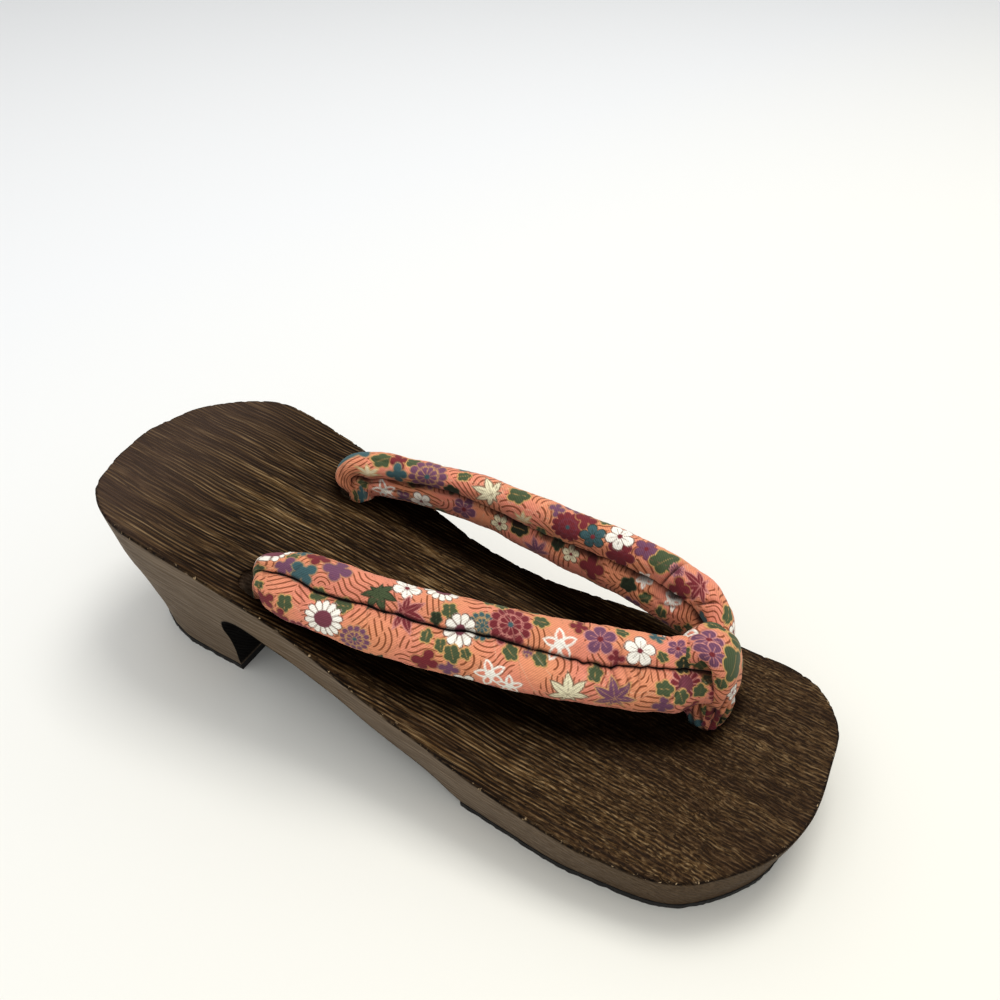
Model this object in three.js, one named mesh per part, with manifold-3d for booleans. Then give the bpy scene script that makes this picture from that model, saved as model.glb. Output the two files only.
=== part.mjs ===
// A geta sandal for the right foot: a carved wooden sole on two rubber sheets, with a padded cotton
// strap in two bands that a padded toe loop holds down at the front.
// Millimetres, +Z up. The toe points to -Y and the big toe side is +X. The origin is on the floor,
// under the middle of the sole.

import * as THREE from "three";
import { LoftGeometry } from "three/addons/geometries/LoftGeometry.js";
import { mergeVertices } from "three/addons/utils/BufferGeometryUtils.js";
import Module from "manifold-3d";

// Driving dimensions of the sole
const soleLength = 235;
const ballWidth = 88.5;
const seatHeight = 58;
const forefootHeight = 18.5;
const rubberThickness = 2.5;
const outerDraft = 13.5;
const bigToeDraft = 9;
const heelDraft = 10;
const wallSwell = 0.3;

// Driving dimensions of the arch that is cut between heel and forefoot
const heelBlockEnd = 55;
const heelFaceLean = 3;
const archShoulder = 23;
const archCrownHeight = 37.5;
const archCrownStation = 69;
const forefootStart = 144;
const crownStart = 0.1;
const crownMiddle = 0.8;
const crownFlat = 0.2;
const crownRound = 1;

// Driving dimensions of the three holes
const sideHoleStation = 75;
const outerHoleOffset = 31;
const bigToeHoleOffset = 18;
const sideHoleDiameter = 12;
const toeHoleStation = 198;
const toeHoleOffset = 9;
const toeHoleDiameter = 11;

// Driving dimensions of the strap and the toe loop
const strapWidth = 21.5;
const strapThickness = 12;
const strapRise = 24;
const strapCrease = 0.3;
const strapCreaseWidth = 0.35;
const strapEndDepth = 11;
const strapEndDiameter = 8.5;
const loopWidth = 11.5;
const loopThickness = 6;
const loopHeight = 29;
const loopSpan = 16;
const loopEndDepth = 12;
const loopFootRise = 9;
const strapTurn = 0.35;
const strapEndTurn = 2;
const clearance = 0.3;

// Outline of the top, from the heel tip round the outer side to the toe tip and back along the big
// toe side. along: share of soleLength from the heel. across: share of ballWidth from the axis.
const OUTLINE = [
  { along: 0.0, across: 0.023 },
  { along: 0.011, across: -0.16 },
  { along: 0.04, across: -0.318 },
  { along: 0.122, across: -0.435 },
  { along: 0.254, across: -0.468 },
  { along: 0.402, across: -0.47 },
  { along: 0.549, across: -0.498 },
  { along: 0.678, across: -0.534 },
  { along: 0.791, across: -0.547 },
  { along: 0.906, across: -0.492 },
  { along: 0.988, across: -0.249 },
  { along: 1.0, across: 0.069 },
  { along: 0.989, across: 0.245 },
  { along: 0.937, across: 0.399 },
  { along: 0.83, across: 0.453 },
  { along: 0.703, across: 0.411 },
  { along: 0.555, across: 0.331 },
  { along: 0.404, across: 0.329 },
  { along: 0.255, across: 0.398 },
  { along: 0.122, across: 0.427 },
  { along: 0.034, across: 0.285 },
  { along: 0.008, across: 0.136 },
];

// Height of the top along the sole. rise: share of the way from forefootHeight up to seatHeight.
const TOP = [
  { along: 0.0, rise: 1.0 },
  { along: 0.17, rise: 1.0 },
  { along: 0.34, rise: 0.785 },
  { along: 0.51, rise: 0.37 },
  { along: 0.68, rise: 0.12 },
  { along: 0.85, rise: -0.005 },
  { along: 1.0, rise: 0.11 },
];

// Sections of the two bands, from the side hole to the toe loop. along and across place the middle
// of the section, lift is its height over the top as a share of strapRise, lean turns the outer
// face up in degrees, and wide and thick are shares of strapWidth and strapThickness.
const OUTER_BAND = [
  { along: 0.336, across: -0.352, lift: 0.2, lean: 40, wide: 0.62, thick: 0.86 },
  { along: 0.353, across: -0.355, lift: 0.27, lean: 44, wide: 0.82, thick: 0.95 },
  { along: 0.385, across: -0.347, lift: 0.4, lean: 46, wide: 0.92, thick: 1.0 },
  { along: 0.482, across: -0.314, lift: 0.71, lean: 46, wide: 0.97, thick: 1.0 },
  { along: 0.62, across: -0.205, lift: 0.87, lean: 44, wide: 1.0, thick: 1.0 },
  { along: 0.74, across: -0.082, lift: 0.9, lean: 38, wide: 1.0, thick: 0.97 },
  { along: 0.805, across: 0.012, lift: 0.85, lean: 24, wide: 0.97, thick: 0.88 },
  { along: 0.853, across: 0.1, lift: 0.74, lean: 8, wide: 0.76, thick: 0.68 },
];
const BIG_TOE_BAND = [
  { along: 0.323, across: 0.213, lift: 0.2, lean: 30, wide: 0.76, thick: 0.84 },
  { along: 0.341, across: 0.233, lift: 0.29, lean: 34, wide: 0.84, thick: 0.95 },
  { along: 0.385, across: 0.272, lift: 0.42, lean: 34, wide: 0.94, thick: 1.0 },
  { along: 0.49, across: 0.315, lift: 0.78, lean: 20, wide: 1.0, thick: 1.0 },
  { along: 0.625, across: 0.323, lift: 0.95, lean: 0, wide: 1.0, thick: 1.0 },
  { along: 0.76, across: 0.29, lift: 1.07, lean: -14, wide: 1.0, thick: 0.97 },
  { along: 0.825, across: 0.225, lift: 1.0, lean: -16, wide: 0.95, thick: 0.88 },
  { along: 0.853, across: 0.12, lift: 0.82, lean: -8, wide: 0.78, thick: 0.68 },
];

// The toe loop's middle line in the upright plane through its hole. ahead: share of loopSpan towards
// the toe. up: share of loopHeight above the top.
const LOOP = [
  { ahead: 0.08, up: 0.0 },
  { ahead: 0.24, up: 0.33 },
  { ahead: 0.29, up: 0.66 },
  { ahead: 0.13, up: 0.95 },
  { ahead: -0.2, up: 1.0 },
  { ahead: -0.52, up: 0.74 },
  { ahead: -0.32, up: 0.36 },
  { ahead: -0.12, up: 0.0 },
];

// Resolution
const stationsPerRow = 4;
const topDivisions = 5;
const wallDivisions = 4;
const bandSections = 30;
const bandSides = 20;
const loopSections = 32;
const loopSides = 14;
const holeSides = 28;
const tipShare = 0.006;
const archSegments = 9;
const outlineSamples = 400;
const sizeTension = 0.3;
const weld = 1e-4;
const overrun = 1;

const wasm = await Module();
wasm.setup();

// A closed geometry as a solid for joining and cutting. Faces without area, which a loft has where
// its end section shrinks to a point, are dropped.
function solid(geometry) {
  const bare = new THREE.BufferGeometry();
  bare.setAttribute("position", geometry.getAttribute("position"));
  bare.setIndex(geometry.index);
  const merged = mergeVertices(bare, weld);
  const corners = Array.from(merged.index.array);
  const triVerts = [];
  for (let i = 0; i < corners.length; i += 3) {
    const [p, q, r] = corners.slice(i, i + 3);
    if (p !== q && q !== r && r !== p) triVerts.push(p, q, r);
  }
  return new wasm.Manifold(
    new wasm.Mesh({
      numProp: 3,
      vertProperties: merged.attributes.position.array,
      triVerts: new Uint32Array(triVerts),
    }),
  );
}

// A loft through rings of points, closed at both ends by a fan to the middle of the end ring.
function closedLoft(rings) {
  const shrunk = (ring) => {
    const middle = new THREE.Vector3();
    for (const corner of ring) middle.addScaledVector(corner, 1 / ring.length);
    return ring.map(() => middle.clone());
  };
  return solid(new LoftGeometry([shrunk(rings[0]), ...rings, shrunk(rings[rings.length - 1])]));
}

// A solid as a mesh with flat-shaded faces, ready for the scene.
function meshOf(body, name, material) {
  const faces = body.getMesh();
  const geometry = new THREE.BufferGeometry();
  geometry.setAttribute("position", new THREE.BufferAttribute(faces.vertProperties, 3));
  geometry.setIndex(new THREE.BufferAttribute(faces.triVerts, 1));
  const flat = geometry.toNonIndexed();
  flat.computeVertexNormals();
  const mesh = new THREE.Mesh(flat, material);
  mesh.name = name;
  return mesh;
}

// A column of a table at any place along it: a cubic between rows whose slope at each row is that
// of the line through its neighbours.
function column(rows, key) {
  const slope = (i) => {
    const before = rows[Math.max(i - 1, 0)];
    const after = rows[Math.min(i + 1, rows.length - 1)];
    return (after[key] - before[key]) / (after.along - before.along);
  };
  return (along) => {
    const last = rows.length - 2;
    let i = 0;
    while (i < last && along > rows[i + 1].along) i += 1;
    const run = rows[i + 1].along - rows[i].along;
    const t = THREE.MathUtils.clamp((along - rows[i].along) / run, 0, 1);
    const lead = rows[i][key] * (1 + 2 * t) * (1 - t) ** 2 + run * slope(i) * t * (1 - t) ** 2;
    const tail = rows[i + 1][key] * (3 - 2 * t) * t ** 2 - run * slope(i + 1) * (1 - t) * t ** 2;
    return lead + tail;
  };
}

const topRise = column(TOP, "rise");

// Height of the sole's top at a station in millimetres from the heel.
function topHeight(station) {
  const rise = topRise(station / soleLength);
  return forefootHeight + rise * (seatHeight - forefootHeight);
}

// A point at a station, an offset towards the big toe side and a height.
function point(station, offset, height) {
  return new THREE.Vector3(offset, -station, height);
}

const outlineCurve = new THREE.CatmullRomCurve3(
  OUTLINE.map((row) => point(row.along * soleLength, row.across * ballWidth, 0)),
  true,
  "catmullrom",
);

// A point of the sole's wall. turn: 0 at the heel tip, 0.5 at the toe tip and 1 back at the heel.
// depth: share of the way down from the top to the floor. The wall leans in by its draft and swells.
function wallPoint(turn, depth) {
  const edge = outlineCurve.getPoint(turn);
  const tangent = outlineCurve.getTangent(turn);
  const outward = new THREE.Vector3(tangent.y, -tangent.x, 0);
  const top = topHeight(-edge.y);
  const sideDraft = THREE.MathUtils.lerp(outerDraft, bigToeDraft, Math.max(outward.x, 0) ** 2);
  const draft = THREE.MathUtils.lerp(sideDraft, heelDraft, Math.max(outward.y, 0));
  const lean = top * Math.tan(THREE.MathUtils.degToRad(draft));
  const inset = lean * (depth - (wallSwell * Math.sin(2 * Math.PI * depth)) / (2 * Math.PI));
  const place = edge.addScaledVector(outward, -inset);
  place.z = top * (1 - depth);
  return place;
}

// The uncut sole, wood and rubber together: a loft whose sections run over the top to the outer
// side, down it, under the bottom and up the big toe side. lift raises the top alone.
function soleBlock(lift = 0) {
  const count = (OUTLINE.length / 2) * stationsPerRow;
  const sections = [];
  for (let i = 0; i <= count; i += 1) {
    const half = THREE.MathUtils.lerp(tipShare, 1 - tipShare, i / count) / 2;
    const outer = (depth) => wallPoint(half, depth);
    const bigToe = (depth) => wallPoint(1 - half, depth);
    const ring = [];
    for (let j = 0; j < topDivisions; j += 1) {
      const across = bigToe(0).lerp(outer(0), j / topDivisions);
      ring.push(across.setZ(topHeight(-across.y)));
    }
    for (let j = 0; j < wallDivisions; j += 1) ring.push(outer(j / wallDivisions));
    for (let j = 0; j < topDivisions; j += 1) ring.push(outer(1).lerp(bigToe(1), j / topDivisions));
    for (let j = 0; j < wallDivisions; j += 1) ring.push(bigToe(1 - j / wallDivisions));
    for (let j = 0; j <= topDivisions; j += 1) ring[j].z += lift;
    sections.push(ring);
  }
  return closedLoft(sections);
}

// The arch: up the front face of the heel block, over a tight crown, then down a long slope. The
// shape's x is the station and its y the height, and it is extruded right across the sole.
function archCutter() {
  const faceTop = heelBlockEnd + heelFaceLean;
  const crownRun = archCrownStation - faceTop;
  const slope = (archCrownHeight - rubberThickness) / (forefootStart - archCrownStation);
  const shape = new THREE.Shape();
  shape.moveTo(heelBlockEnd, -rubberThickness);
  shape.lineTo(heelBlockEnd, rubberThickness);
  shape.lineTo(faceTop, archShoulder);
  shape.bezierCurveTo(
    faceTop + crownRun * crownStart,
    archCrownHeight - crownRound,
    archCrownStation - crownRun * crownFlat,
    archCrownHeight + crownRun * crownFlat * slope + crownRound,
    archCrownStation + crownRun * crownMiddle,
    archCrownHeight - crownRun * crownMiddle * slope,
  );
  shape.lineTo(forefootStart, rubberThickness);
  shape.lineTo(forefootStart, -rubberThickness);
  const depth = 2 * ballWidth;
  const geometry = new THREE.ExtrudeGeometry(shape, {
    depth,
    bevelEnabled: false,
    curveSegments: archSegments,
  });
  geometry.translate(0, 0, -depth / 2);
  const toToe = point(1, 0, 0);
  const upwards = point(0, 0, 1);
  geometry.applyMatrix4(new THREE.Matrix4().makeBasis(toToe, upwards, toToe.clone().cross(upwards)));
  return solid(geometry);
}

// An upright round peg through a hole's place, from one height to another.
function peg(hole, diameter, low, high) {
  const geometry = new THREE.CylinderGeometry(diameter / 2, diameter / 2, high - low, holeSides);
  geometry.rotateX(Math.PI / 2);
  const middle = point(hole.station, hole.offset, (low + high) / 2);
  geometry.translate(middle.x, middle.y, middle.z);
  return solid(geometry);
}

// A slab of the space below the rubber's upper face, between two stations.
function floorSlab(from, to) {
  const geometry = new THREE.BoxGeometry(2 * ballWidth, to - from, 2 * rubberThickness);
  const middle = point((from + to) / 2, 0, 0);
  geometry.translate(middle.x, middle.y, middle.z);
  return solid(geometry);
}

const outerHole = { station: sideHoleStation, offset: -outerHoleOffset, diameter: sideHoleDiameter };
const bigToeHole = { station: sideHoleStation, offset: bigToeHoleOffset, diameter: sideHoleDiameter };
const toeHole = { station: toeHoleStation, offset: toeHoleOffset, diameter: toeHoleDiameter };
const holes = [outerHole, bigToeHole, toeHole];

// One band of the strap. It comes up out of its side hole, where it leans on the front of the hole,
// and its section then follows the table. side: -1 for the outer band, 1 for the big toe band.
function band(rows, side, hole, grow = 0) {
  const endStation = hole.station + (hole.diameter - strapEndDiameter) / 2 - clearance;
  const mouth = topHeight(endStation);
  const path = [point(endStation, hole.offset, mouth - strapEndDepth), point(endStation, hole.offset, mouth)];
  const sizes = [0, 0].map(() => new THREE.Vector3(strapEndDiameter, strapEndDiameter, rows[0].lean));
  for (const row of rows) {
    const station = row.along * soleLength;
    path.push(point(station, row.across * ballWidth, topHeight(station) + row.lift * strapRise));
    sizes.push(new THREE.Vector3(row.wide * strapWidth, row.thick * strapThickness, row.lean));
  }
  const middleLine = new THREE.CatmullRomCurve3(path);
  const sizeLine = new THREE.CatmullRomCurve3(sizes, false, "catmullrom", sizeTension);
  const sections = [];
  for (let i = 0; i <= bandSections; i += 1) {
    const centre = middleLine.getPoint(i / bandSections);
    const forward = middleLine.getTangent(i / bandSections);
    const size = sizeLine.getPoint(i / bandSections);
    const heelward = new THREE.Vector3(0, strapTurn + strapEndTurn * (1 - i / bandSections) ** 4, 1);
    const up = heelward.clone().addScaledVector(forward, -heelward.dot(forward)).normalize();
    const outward = forward.clone().cross(up).multiplyScalar(-side);
    const lean = THREE.MathUtils.degToRad(size.z);
    const wideAxis = up.clone().multiplyScalar(Math.cos(lean)).addScaledVector(outward, -Math.sin(lean));
    const faceAxis = outward.clone().multiplyScalar(Math.cos(lean)).addScaledVector(up, Math.sin(lean));
    const ring = [];
    for (let j = 0; j < bandSides; j += 1) {
      const angle = (-2 * Math.PI * j * side) / bandSides;
      const nearCrease = Math.exp(-((Math.cos(angle) / strapCreaseWidth) ** 2));
      const fold = Math.sin(angle) > 0 ? strapCrease * nearCrease : 0;
      const wide = (size.x / 2 + grow) * Math.cos(angle);
      const thick = (size.y / 2 + grow) * Math.sin(angle) * (1 - fold);
      ring.push(centre.clone().addScaledVector(wideAxis, wide).addScaledVector(faceAxis, thick));
    }
    sections.push(ring);
  }
  return closedLoft(sections);
}

// Both bands, joined where they meet inside the toe loop.
function strapBody(grow = 0) {
  return band(OUTER_BAND, -1, outerHole, grow).add(band(BIG_TOE_BAND, 1, bigToeHole, grow));
}

// The toe loop before it is cut round the strap: a closed ring of oval section, and its foot.
function loopBody() {
  const base = topHeight(toeHole.station);
  const path = LOOP.map((row) =>
    point(toeHole.station + row.ahead * loopSpan, toeHole.offset, base + row.up * loopHeight),
  );
  const middleLine = new THREE.CatmullRomCurve3(path, true);
  const across = new THREE.Vector3(1, 0, 0);
  const sections = [];
  for (let i = 0; i <= loopSections; i += 1) {
    const centre = middleLine.getPoint((i % loopSections) / loopSections);
    const forward = middleLine.getTangent((i % loopSections) / loopSections);
    const outward = across.clone().cross(forward);
    const ring = [];
    for (let j = 0; j < loopSides; j += 1) {
      const angle = (-2 * Math.PI * j) / loopSides;
      const wide = (loopWidth / 2) * Math.cos(angle);
      const thick = (loopThickness / 2) * Math.sin(angle);
      ring.push(centre.clone().addScaledVector(across, wide).addScaledVector(outward, thick));
    }
    sections.push(ring);
  }
  const foot = peg(toeHole, toeHole.diameter - 2 * clearance, base - loopEndDepth, base + loopFootRise);
  return solid(new LoftGeometry(sections)).add(foot);
}

const uncut = soleBlock();
const arched = uncut.subtract(archCutter());
const heelSlab = floorSlab(-rubberThickness, (heelBlockEnd + forefootStart) / 2);
const forefootSlab = floorSlab((heelBlockEnd + forefootStart) / 2, soleLength + rubberThickness);

let sole = arched.subtract(heelSlab).subtract(forefootSlab);
for (const hole of holes) sole = sole.subtract(peg(hole, hole.diameter, -overrun, seatHeight + overrun));
const heelSheet = arched.intersect(heelSlab);
const toeBore = peg(toeHole, toeHole.diameter, -overrun, seatHeight);
const forefootSheet = arched.intersect(forefootSlab).subtract(toeBore);

// The space of the sole and a clearance over it, open at the holes.
let guard = soleBlock(clearance);
for (const hole of holes) {
  const open = hole.diameter - 2 * clearance;
  guard = guard.subtract(peg(hole, open, -overrun, seatHeight + overrun));
}

const strap = strapBody().subtract(guard);
const toeLoop = loopBody().subtract(strapBody(clearance)).subtract(guard);

const wood = new THREE.MeshStandardMaterial({ color: 0x4b3a2c, roughness: 0.62, metalness: 0 });
const rubber = new THREE.MeshStandardMaterial({ color: 0x141312, roughness: 0.8, metalness: 0 });
const cotton = new THREE.MeshStandardMaterial({ color: 0xd9806a, roughness: 0.9, metalness: 0 });
const loopCotton = new THREE.MeshStandardMaterial({ color: 0xc9705f, roughness: 0.9, metalness: 0 });

const outlineBox = new THREE.Box3().setFromPoints(outlineCurve.getSpacedPoints(outlineSamples));
const footprint = outlineBox.getCenter(new THREE.Vector3());
const sandal = new THREE.Group();
sandal.position.set(-footprint.x, -footprint.y, 0);
sandal.add(meshOf(sole, "sole", wood));
sandal.add(meshOf(forefootSheet, "forefoot_sheet", rubber));
sandal.add(meshOf(heelSheet, "heel_sheet", rubber));
sandal.add(meshOf(strap, "strap", cotton));
sandal.add(meshOf(toeLoop, "toe_loop", loopCotton));

export default sandal;
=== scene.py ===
"""A geta sandal for the right foot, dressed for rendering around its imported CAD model.

The sole, the rubber sheets, the padded strap and the toe loop are surfaces worked out with numpy
from the sizes and tables below. A station is a distance from the heel tip towards the toe, an
offset is a distance towards the big toe side and a height is above the floor, all in millimetres.
"""

import bmesh
import bpy
import numpy as np
from mathutils import Matrix, Vector


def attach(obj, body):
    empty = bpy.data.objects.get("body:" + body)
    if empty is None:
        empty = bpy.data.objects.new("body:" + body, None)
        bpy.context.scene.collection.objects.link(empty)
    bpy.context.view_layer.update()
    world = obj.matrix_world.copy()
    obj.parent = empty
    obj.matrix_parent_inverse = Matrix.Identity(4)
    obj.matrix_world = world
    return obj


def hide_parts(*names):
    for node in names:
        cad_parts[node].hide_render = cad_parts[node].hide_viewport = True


bl_info = {
    "name": "Geta sandal",
    "version": (1, 0, 0),
    "blender": (4, 5, 0),
    "location": "View3D > Sidebar > Geta",
    "description": "Builds a carved wooden sandal with a padded cotton strap",
    "category": "Add Mesh",
}

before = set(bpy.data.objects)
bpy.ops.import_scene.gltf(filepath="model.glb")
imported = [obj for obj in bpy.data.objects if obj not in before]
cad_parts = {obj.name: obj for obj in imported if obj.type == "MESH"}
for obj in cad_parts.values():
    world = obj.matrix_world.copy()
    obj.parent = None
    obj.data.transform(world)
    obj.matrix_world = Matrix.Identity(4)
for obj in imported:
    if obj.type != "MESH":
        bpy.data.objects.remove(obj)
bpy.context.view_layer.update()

# Sizes and tables, millimetres

MM = 0.001
CENTRE_OFFSET = 4.249
CENTRE_STATION = 117.531

SOLE_LENGTH = 235.0
BALL_WIDTH = 88.5
SEAT_HEIGHT = 58.0
FOREFOOT_HEIGHT = 18.5
RUBBER = 2.5
OUTER_DRAFT = 13.5
BIG_TOE_DRAFT = 9.0
HEEL_DRAFT = 10.0
WALL_SWELL = 0.3
WALL_WANDER = 0.15
EDGE_RADIUS = 0.9
EDGE_WANDER = 0.25

# Millimetres over which the wood's finishes set in: edge, wall, painted shade under the arch, painted shadow
# of the bands.
EDGE_FADE = (1.05, 0.4)
WALL_FADE = (0.3, 1.1)
ARCH_SHADE_FADE = (0.8, 0.1)
BAND_SHADOW_FADE = (13.5, 5.5)

HEEL_BLOCK_END = 55.0
HEEL_FACE_LEAN = 3.0
ARCH_SHOULDER = 23.0
ARCH_CROWN_HEIGHT = 37.5
ARCH_CROWN_STATION = 69.0
FOREFOOT_START = 144.0

SIDE_HOLE_STATION = 75.0
OUTER_HOLE_OFFSET = -31.0
BIG_TOE_HOLE_OFFSET = 18.0
SIDE_HOLE_RADIUS = 6.0
TOE_HOLE_STATION = 198.0
TOE_HOLE_OFFSET = 9.0
TOE_HOLE_RADIUS = 5.5
HOLE_WANDER = 0.4
PLUG_HEIGHTS = (-4.0, 80.0)

STRAP_WIDTH = 21.5
STRAP_THICKNESS = 12.0
STRAP_RISE = 24.0
STRAP_END_DEPTH = 11.0
STRAP_END_DIAMETER = 8.5
STRAP_TURN = 0.35
STRAP_END_TURN = 2.0
STRAP_EASE = 9.0
CLEARANCE = 0.3
GROOVE_DEPTH = 0.3
PUCKER = 0.12
SLACK = 0.22
KNOT_SLACK = 0.4
TUCK_WIDTH = 0.45
TUCK_SHADE = 0.3
TUCK_BOW = 0.06

LOOP_HEIGHT = 29.0
LOOP_SPAN = 16.0
LOOP_HALF_WIDTH = 6.6
LOOP_HALF_THICKNESS = 3.7
LOOP_MEAN_HALVES = (6.2, 3.8)
LOOP_TOUCH = 5.8
FOOT_RADIUS = 4.9
FOOT_DEPTH = 12.0
FOOT_RISE = 11.0

# Points along and round each padded piece.
BAND_GRID = (450, 200)
LOOP_GRID = (300, 150)
FOOT_GRID = (70, 120)

# A point this many half widths from the crease's painted shadow line counts as clear of it.
FAR_FROM_FOLD = 9.0

# Millimetres of cloth to one unit of the cloth coordinates.
CLOTH_TILE = 100.0

# The outline of the top, as shares (along, across) of the length and the ball width.
OUTLINE = np.array([
    (0.0, 0.023), (0.011, -0.16), (0.04, -0.318), (0.122, -0.435), (0.254, -0.468),
    (0.402, -0.47), (0.549, -0.498), (0.678, -0.534), (0.791, -0.547), (0.906, -0.492),
    (0.988, -0.249), (1.0, 0.069), (0.989, 0.245), (0.937, 0.399), (0.83, 0.453),
    (0.703, 0.411), (0.555, 0.331), (0.404, 0.329), (0.255, 0.398), (0.122, 0.427),
    (0.034, 0.285), (0.008, 0.136),
])

# The height of the top: (along, rise), rise being the share of the way up from forefoot to seat.
TOP = np.array([
    (0.0, 1.0), (0.17, 1.0), (0.34, 0.785), (0.51, 0.37), (0.68, 0.12), (0.85, -0.005), (1.0, 0.11),
])

# Sections of the bands: (along, across, lift, lean, wide, thick), as in the part's source.
OUTER_BAND = np.array([
    (0.336, -0.352, 0.2, 40, 0.62, 0.86),
    (0.353, -0.355, 0.27, 44, 0.82, 0.95),
    (0.385, -0.347, 0.4, 46, 0.92, 1.0),
    (0.482, -0.314, 0.71, 46, 0.97, 1.0),
    (0.62, -0.205, 0.87, 44, 1.0, 1.0),
    (0.74, -0.082, 0.9, 38, 1.0, 0.97),
    (0.805, 0.012, 0.85, 24, 0.97, 0.88),
    (0.853, 0.1, 0.74, 8, 0.76, 0.68),
])
BIG_TOE_BAND = np.array([
    (0.323, 0.213, 0.2, 30, 0.76, 0.84),
    (0.341, 0.233, 0.29, 34, 0.84, 0.95),
    (0.385, 0.272, 0.42, 34, 0.94, 1.0),
    (0.49, 0.315, 0.78, 20, 1.0, 1.0),
    (0.625, 0.323, 0.95, 0, 1.0, 1.0),
    (0.76, 0.29, 1.07, -14, 1.0, 0.97),
    (0.825, 0.225, 1.0, -16, 0.95, 0.88),
    (0.853, 0.12, 0.82, -8, 0.78, 0.68),
])

# Dark lines of grain in one metre across the layers.
RING_COUNT = 800.0

# How the layers lean with height and slant towards the heel, and how far they bend, in metres.
LAYER_LEAN = 0.78
LAYER_SLANT = -0.15
LAYER_BEND = 0.004
LAYER_FLUTTER = 0.0011

# Where along the frame, in metres, the toe's flecks and the heel's paler wood set in and are full.
FLECKS_SPAN = (-0.035, -0.095)
HEEL_SPAN = (0.062, 0.1)

# The photograph's camera: place, aim, roll in degrees, sensor and lens in millimetres.
CAMERA_PLACE = (-0.17395, -0.11397, 0.2453)
CAMERA_AIM = (0.06062, 0.01127, 0.03)
CAMERA_ROLL = -0.494
SENSOR_WIDTH = 36.0
LENS_LENGTH = 35.2

FLOOR_HALF = 6.0
# Painted light on the floor: its colour is scaled from cool far from the camera to warm near it.
FLOOR_FAR_LIGHT = (0.96, 0.975, 1.0)
FLOOR_NEAR_LIGHT = (0.995, 0.98, 0.905)
SKY_COLOUR = (0.97, 0.98, 1.0, 1.0)

# The toe loop's middle line: (ahead, up), shares of its span towards the toe and of its height.
LOOP = np.array([
    (0.08, 0.0), (0.22, 0.33), (0.25, 0.66), (0.1, 0.95),
    (-0.2, 1.0), (-0.46, 0.74), (-0.3, 0.36), (-0.08, 0.0),
])


# Shared curves and meshes

def place(station, offset, height):
    """Points in the frame, in metres, from stations, offsets and heights in millimetres."""
    return np.stack([
        (np.asarray(offset, float) + CENTRE_OFFSET) * MM,
        (CENTRE_STATION - np.asarray(station, float)) * MM,
        np.asarray(height, float) * MM,
    ], axis=-1)


def waves(position, shortest, longest, seed, count=9):
    """Smooth noise between about -1 and 1: the mean of sines whose lengths lie between two limits.

    position has the coordinates in its last axis, or is a plain array for noise along a line.
    """
    rng = np.random.default_rng(seed)
    spots = np.asarray(position, float)
    if spots.ndim == 0 or spots.shape[-1] not in (2, 3):
        spots = spots[..., None]
    ways = rng.normal(size=(count, spots.shape[-1]))
    ways /= np.linalg.norm(ways, axis=1, keepdims=True)
    lengths = np.exp(rng.uniform(np.log(shortest), np.log(longest), count))
    phases = rng.uniform(0, 2 * np.pi, count)
    angles = spots @ (ways / lengths[:, None]).T * 2 * np.pi + phases
    return np.sin(angles).sum(axis=-1) / np.sqrt(count / 2) / 1.6


def smooth_step(low, high, value):
    """0 below low, 1 above high and an eased ramp between."""
    t = np.clip((value - low) / (high - low), 0, 1)
    return t * t * (3 - 2 * t)


def top_height(station):
    """The top's height: a cubic between rows whose slope is that of the line through neighbours."""
    along, rise = TOP[:, 0], TOP[:, 1]
    low = np.maximum(np.arange(len(TOP)) - 1, 0)
    high = np.minimum(np.arange(len(TOP)) + 1, len(TOP) - 1)
    slope = (rise[high] - rise[low]) / (along[high] - along[low])
    share = np.asarray(station, float) / SOLE_LENGTH
    i = np.clip(np.searchsorted(along, share, side="left") - 1, 0, len(TOP) - 2)
    run = along[i + 1] - along[i]
    t = np.clip((share - along[i]) / run, 0, 1)
    lead = rise[i] * (1 + 2 * t) * (1 - t) ** 2 + run * slope[i] * t * (1 - t) ** 2
    tail = rise[i + 1] * (3 - 2 * t) * t**2 - run * slope[i + 1] * (1 - t) * t**2
    return FOREFOOT_HEIGHT + (lead + tail) * (SEAT_HEIGHT - FOREFOOT_HEIGHT)


def cubic_through(points, turn, closed=False, tension=0.5, even=False):
    """A curve through points at shares turn of its length in points.

    With even set, each knot's spacing is one; otherwise it is the root of the distance between
    points, which keeps the curve from swinging wide where points are close.
    """
    points = np.asarray(points, float)
    count = len(points)
    spans = count if closed else count - 1
    if closed:
        padded = np.concatenate([points[-1:], points, points[:2]])
    else:
        padded = np.concatenate([2 * points[:1] - points[1:2], points, 2 * points[-1:] - points[-2:-1]])
    at = np.asarray(turn, float) * spans
    i = np.clip(np.floor(at).astype(int), 0, spans - 1)
    t = (at - i)[..., None]
    p0, p1, p2, p3 = (padded[i + k] for k in range(4))
    if even:
        m1, m2 = tension * (p2 - p0), tension * (p3 - p1)
    else:
        d0, d1, d2 = (
            np.maximum(np.linalg.norm(b - a, axis=-1, keepdims=True) ** 0.5, 1e-4)
            for a, b in ((p0, p1), (p1, p2), (p2, p3))
        )
        m1 = ((p1 - p0) / d0 - (p2 - p0) / (d0 + d1) + (p2 - p1) / d1) * d1
        m2 = ((p2 - p1) / d1 - (p3 - p1) / (d1 + d2) + (p3 - p2) / d2) * d1
    return (
        (2 * t**3 - 3 * t**2 + 1) * p1 + (t**3 - 2 * t**2 + t) * m1
        + (3 * t**2 - 2 * t**3) * p2 + (t**3 - t**2) * m2
    )


def grid_faces(rows, columns):
    """The quads of a grid of points whose rows are closed rings."""
    r = np.arange(rows - 1)[:, None]
    c = np.arange(columns)[None, :]
    c2 = (c + 1) % columns
    corners = [r * columns + c, r * columns + c2, (r + 1) * columns + c2, (r + 1) * columns + c]
    return np.stack(corners, axis=-1).reshape(-1, 4)


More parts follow.
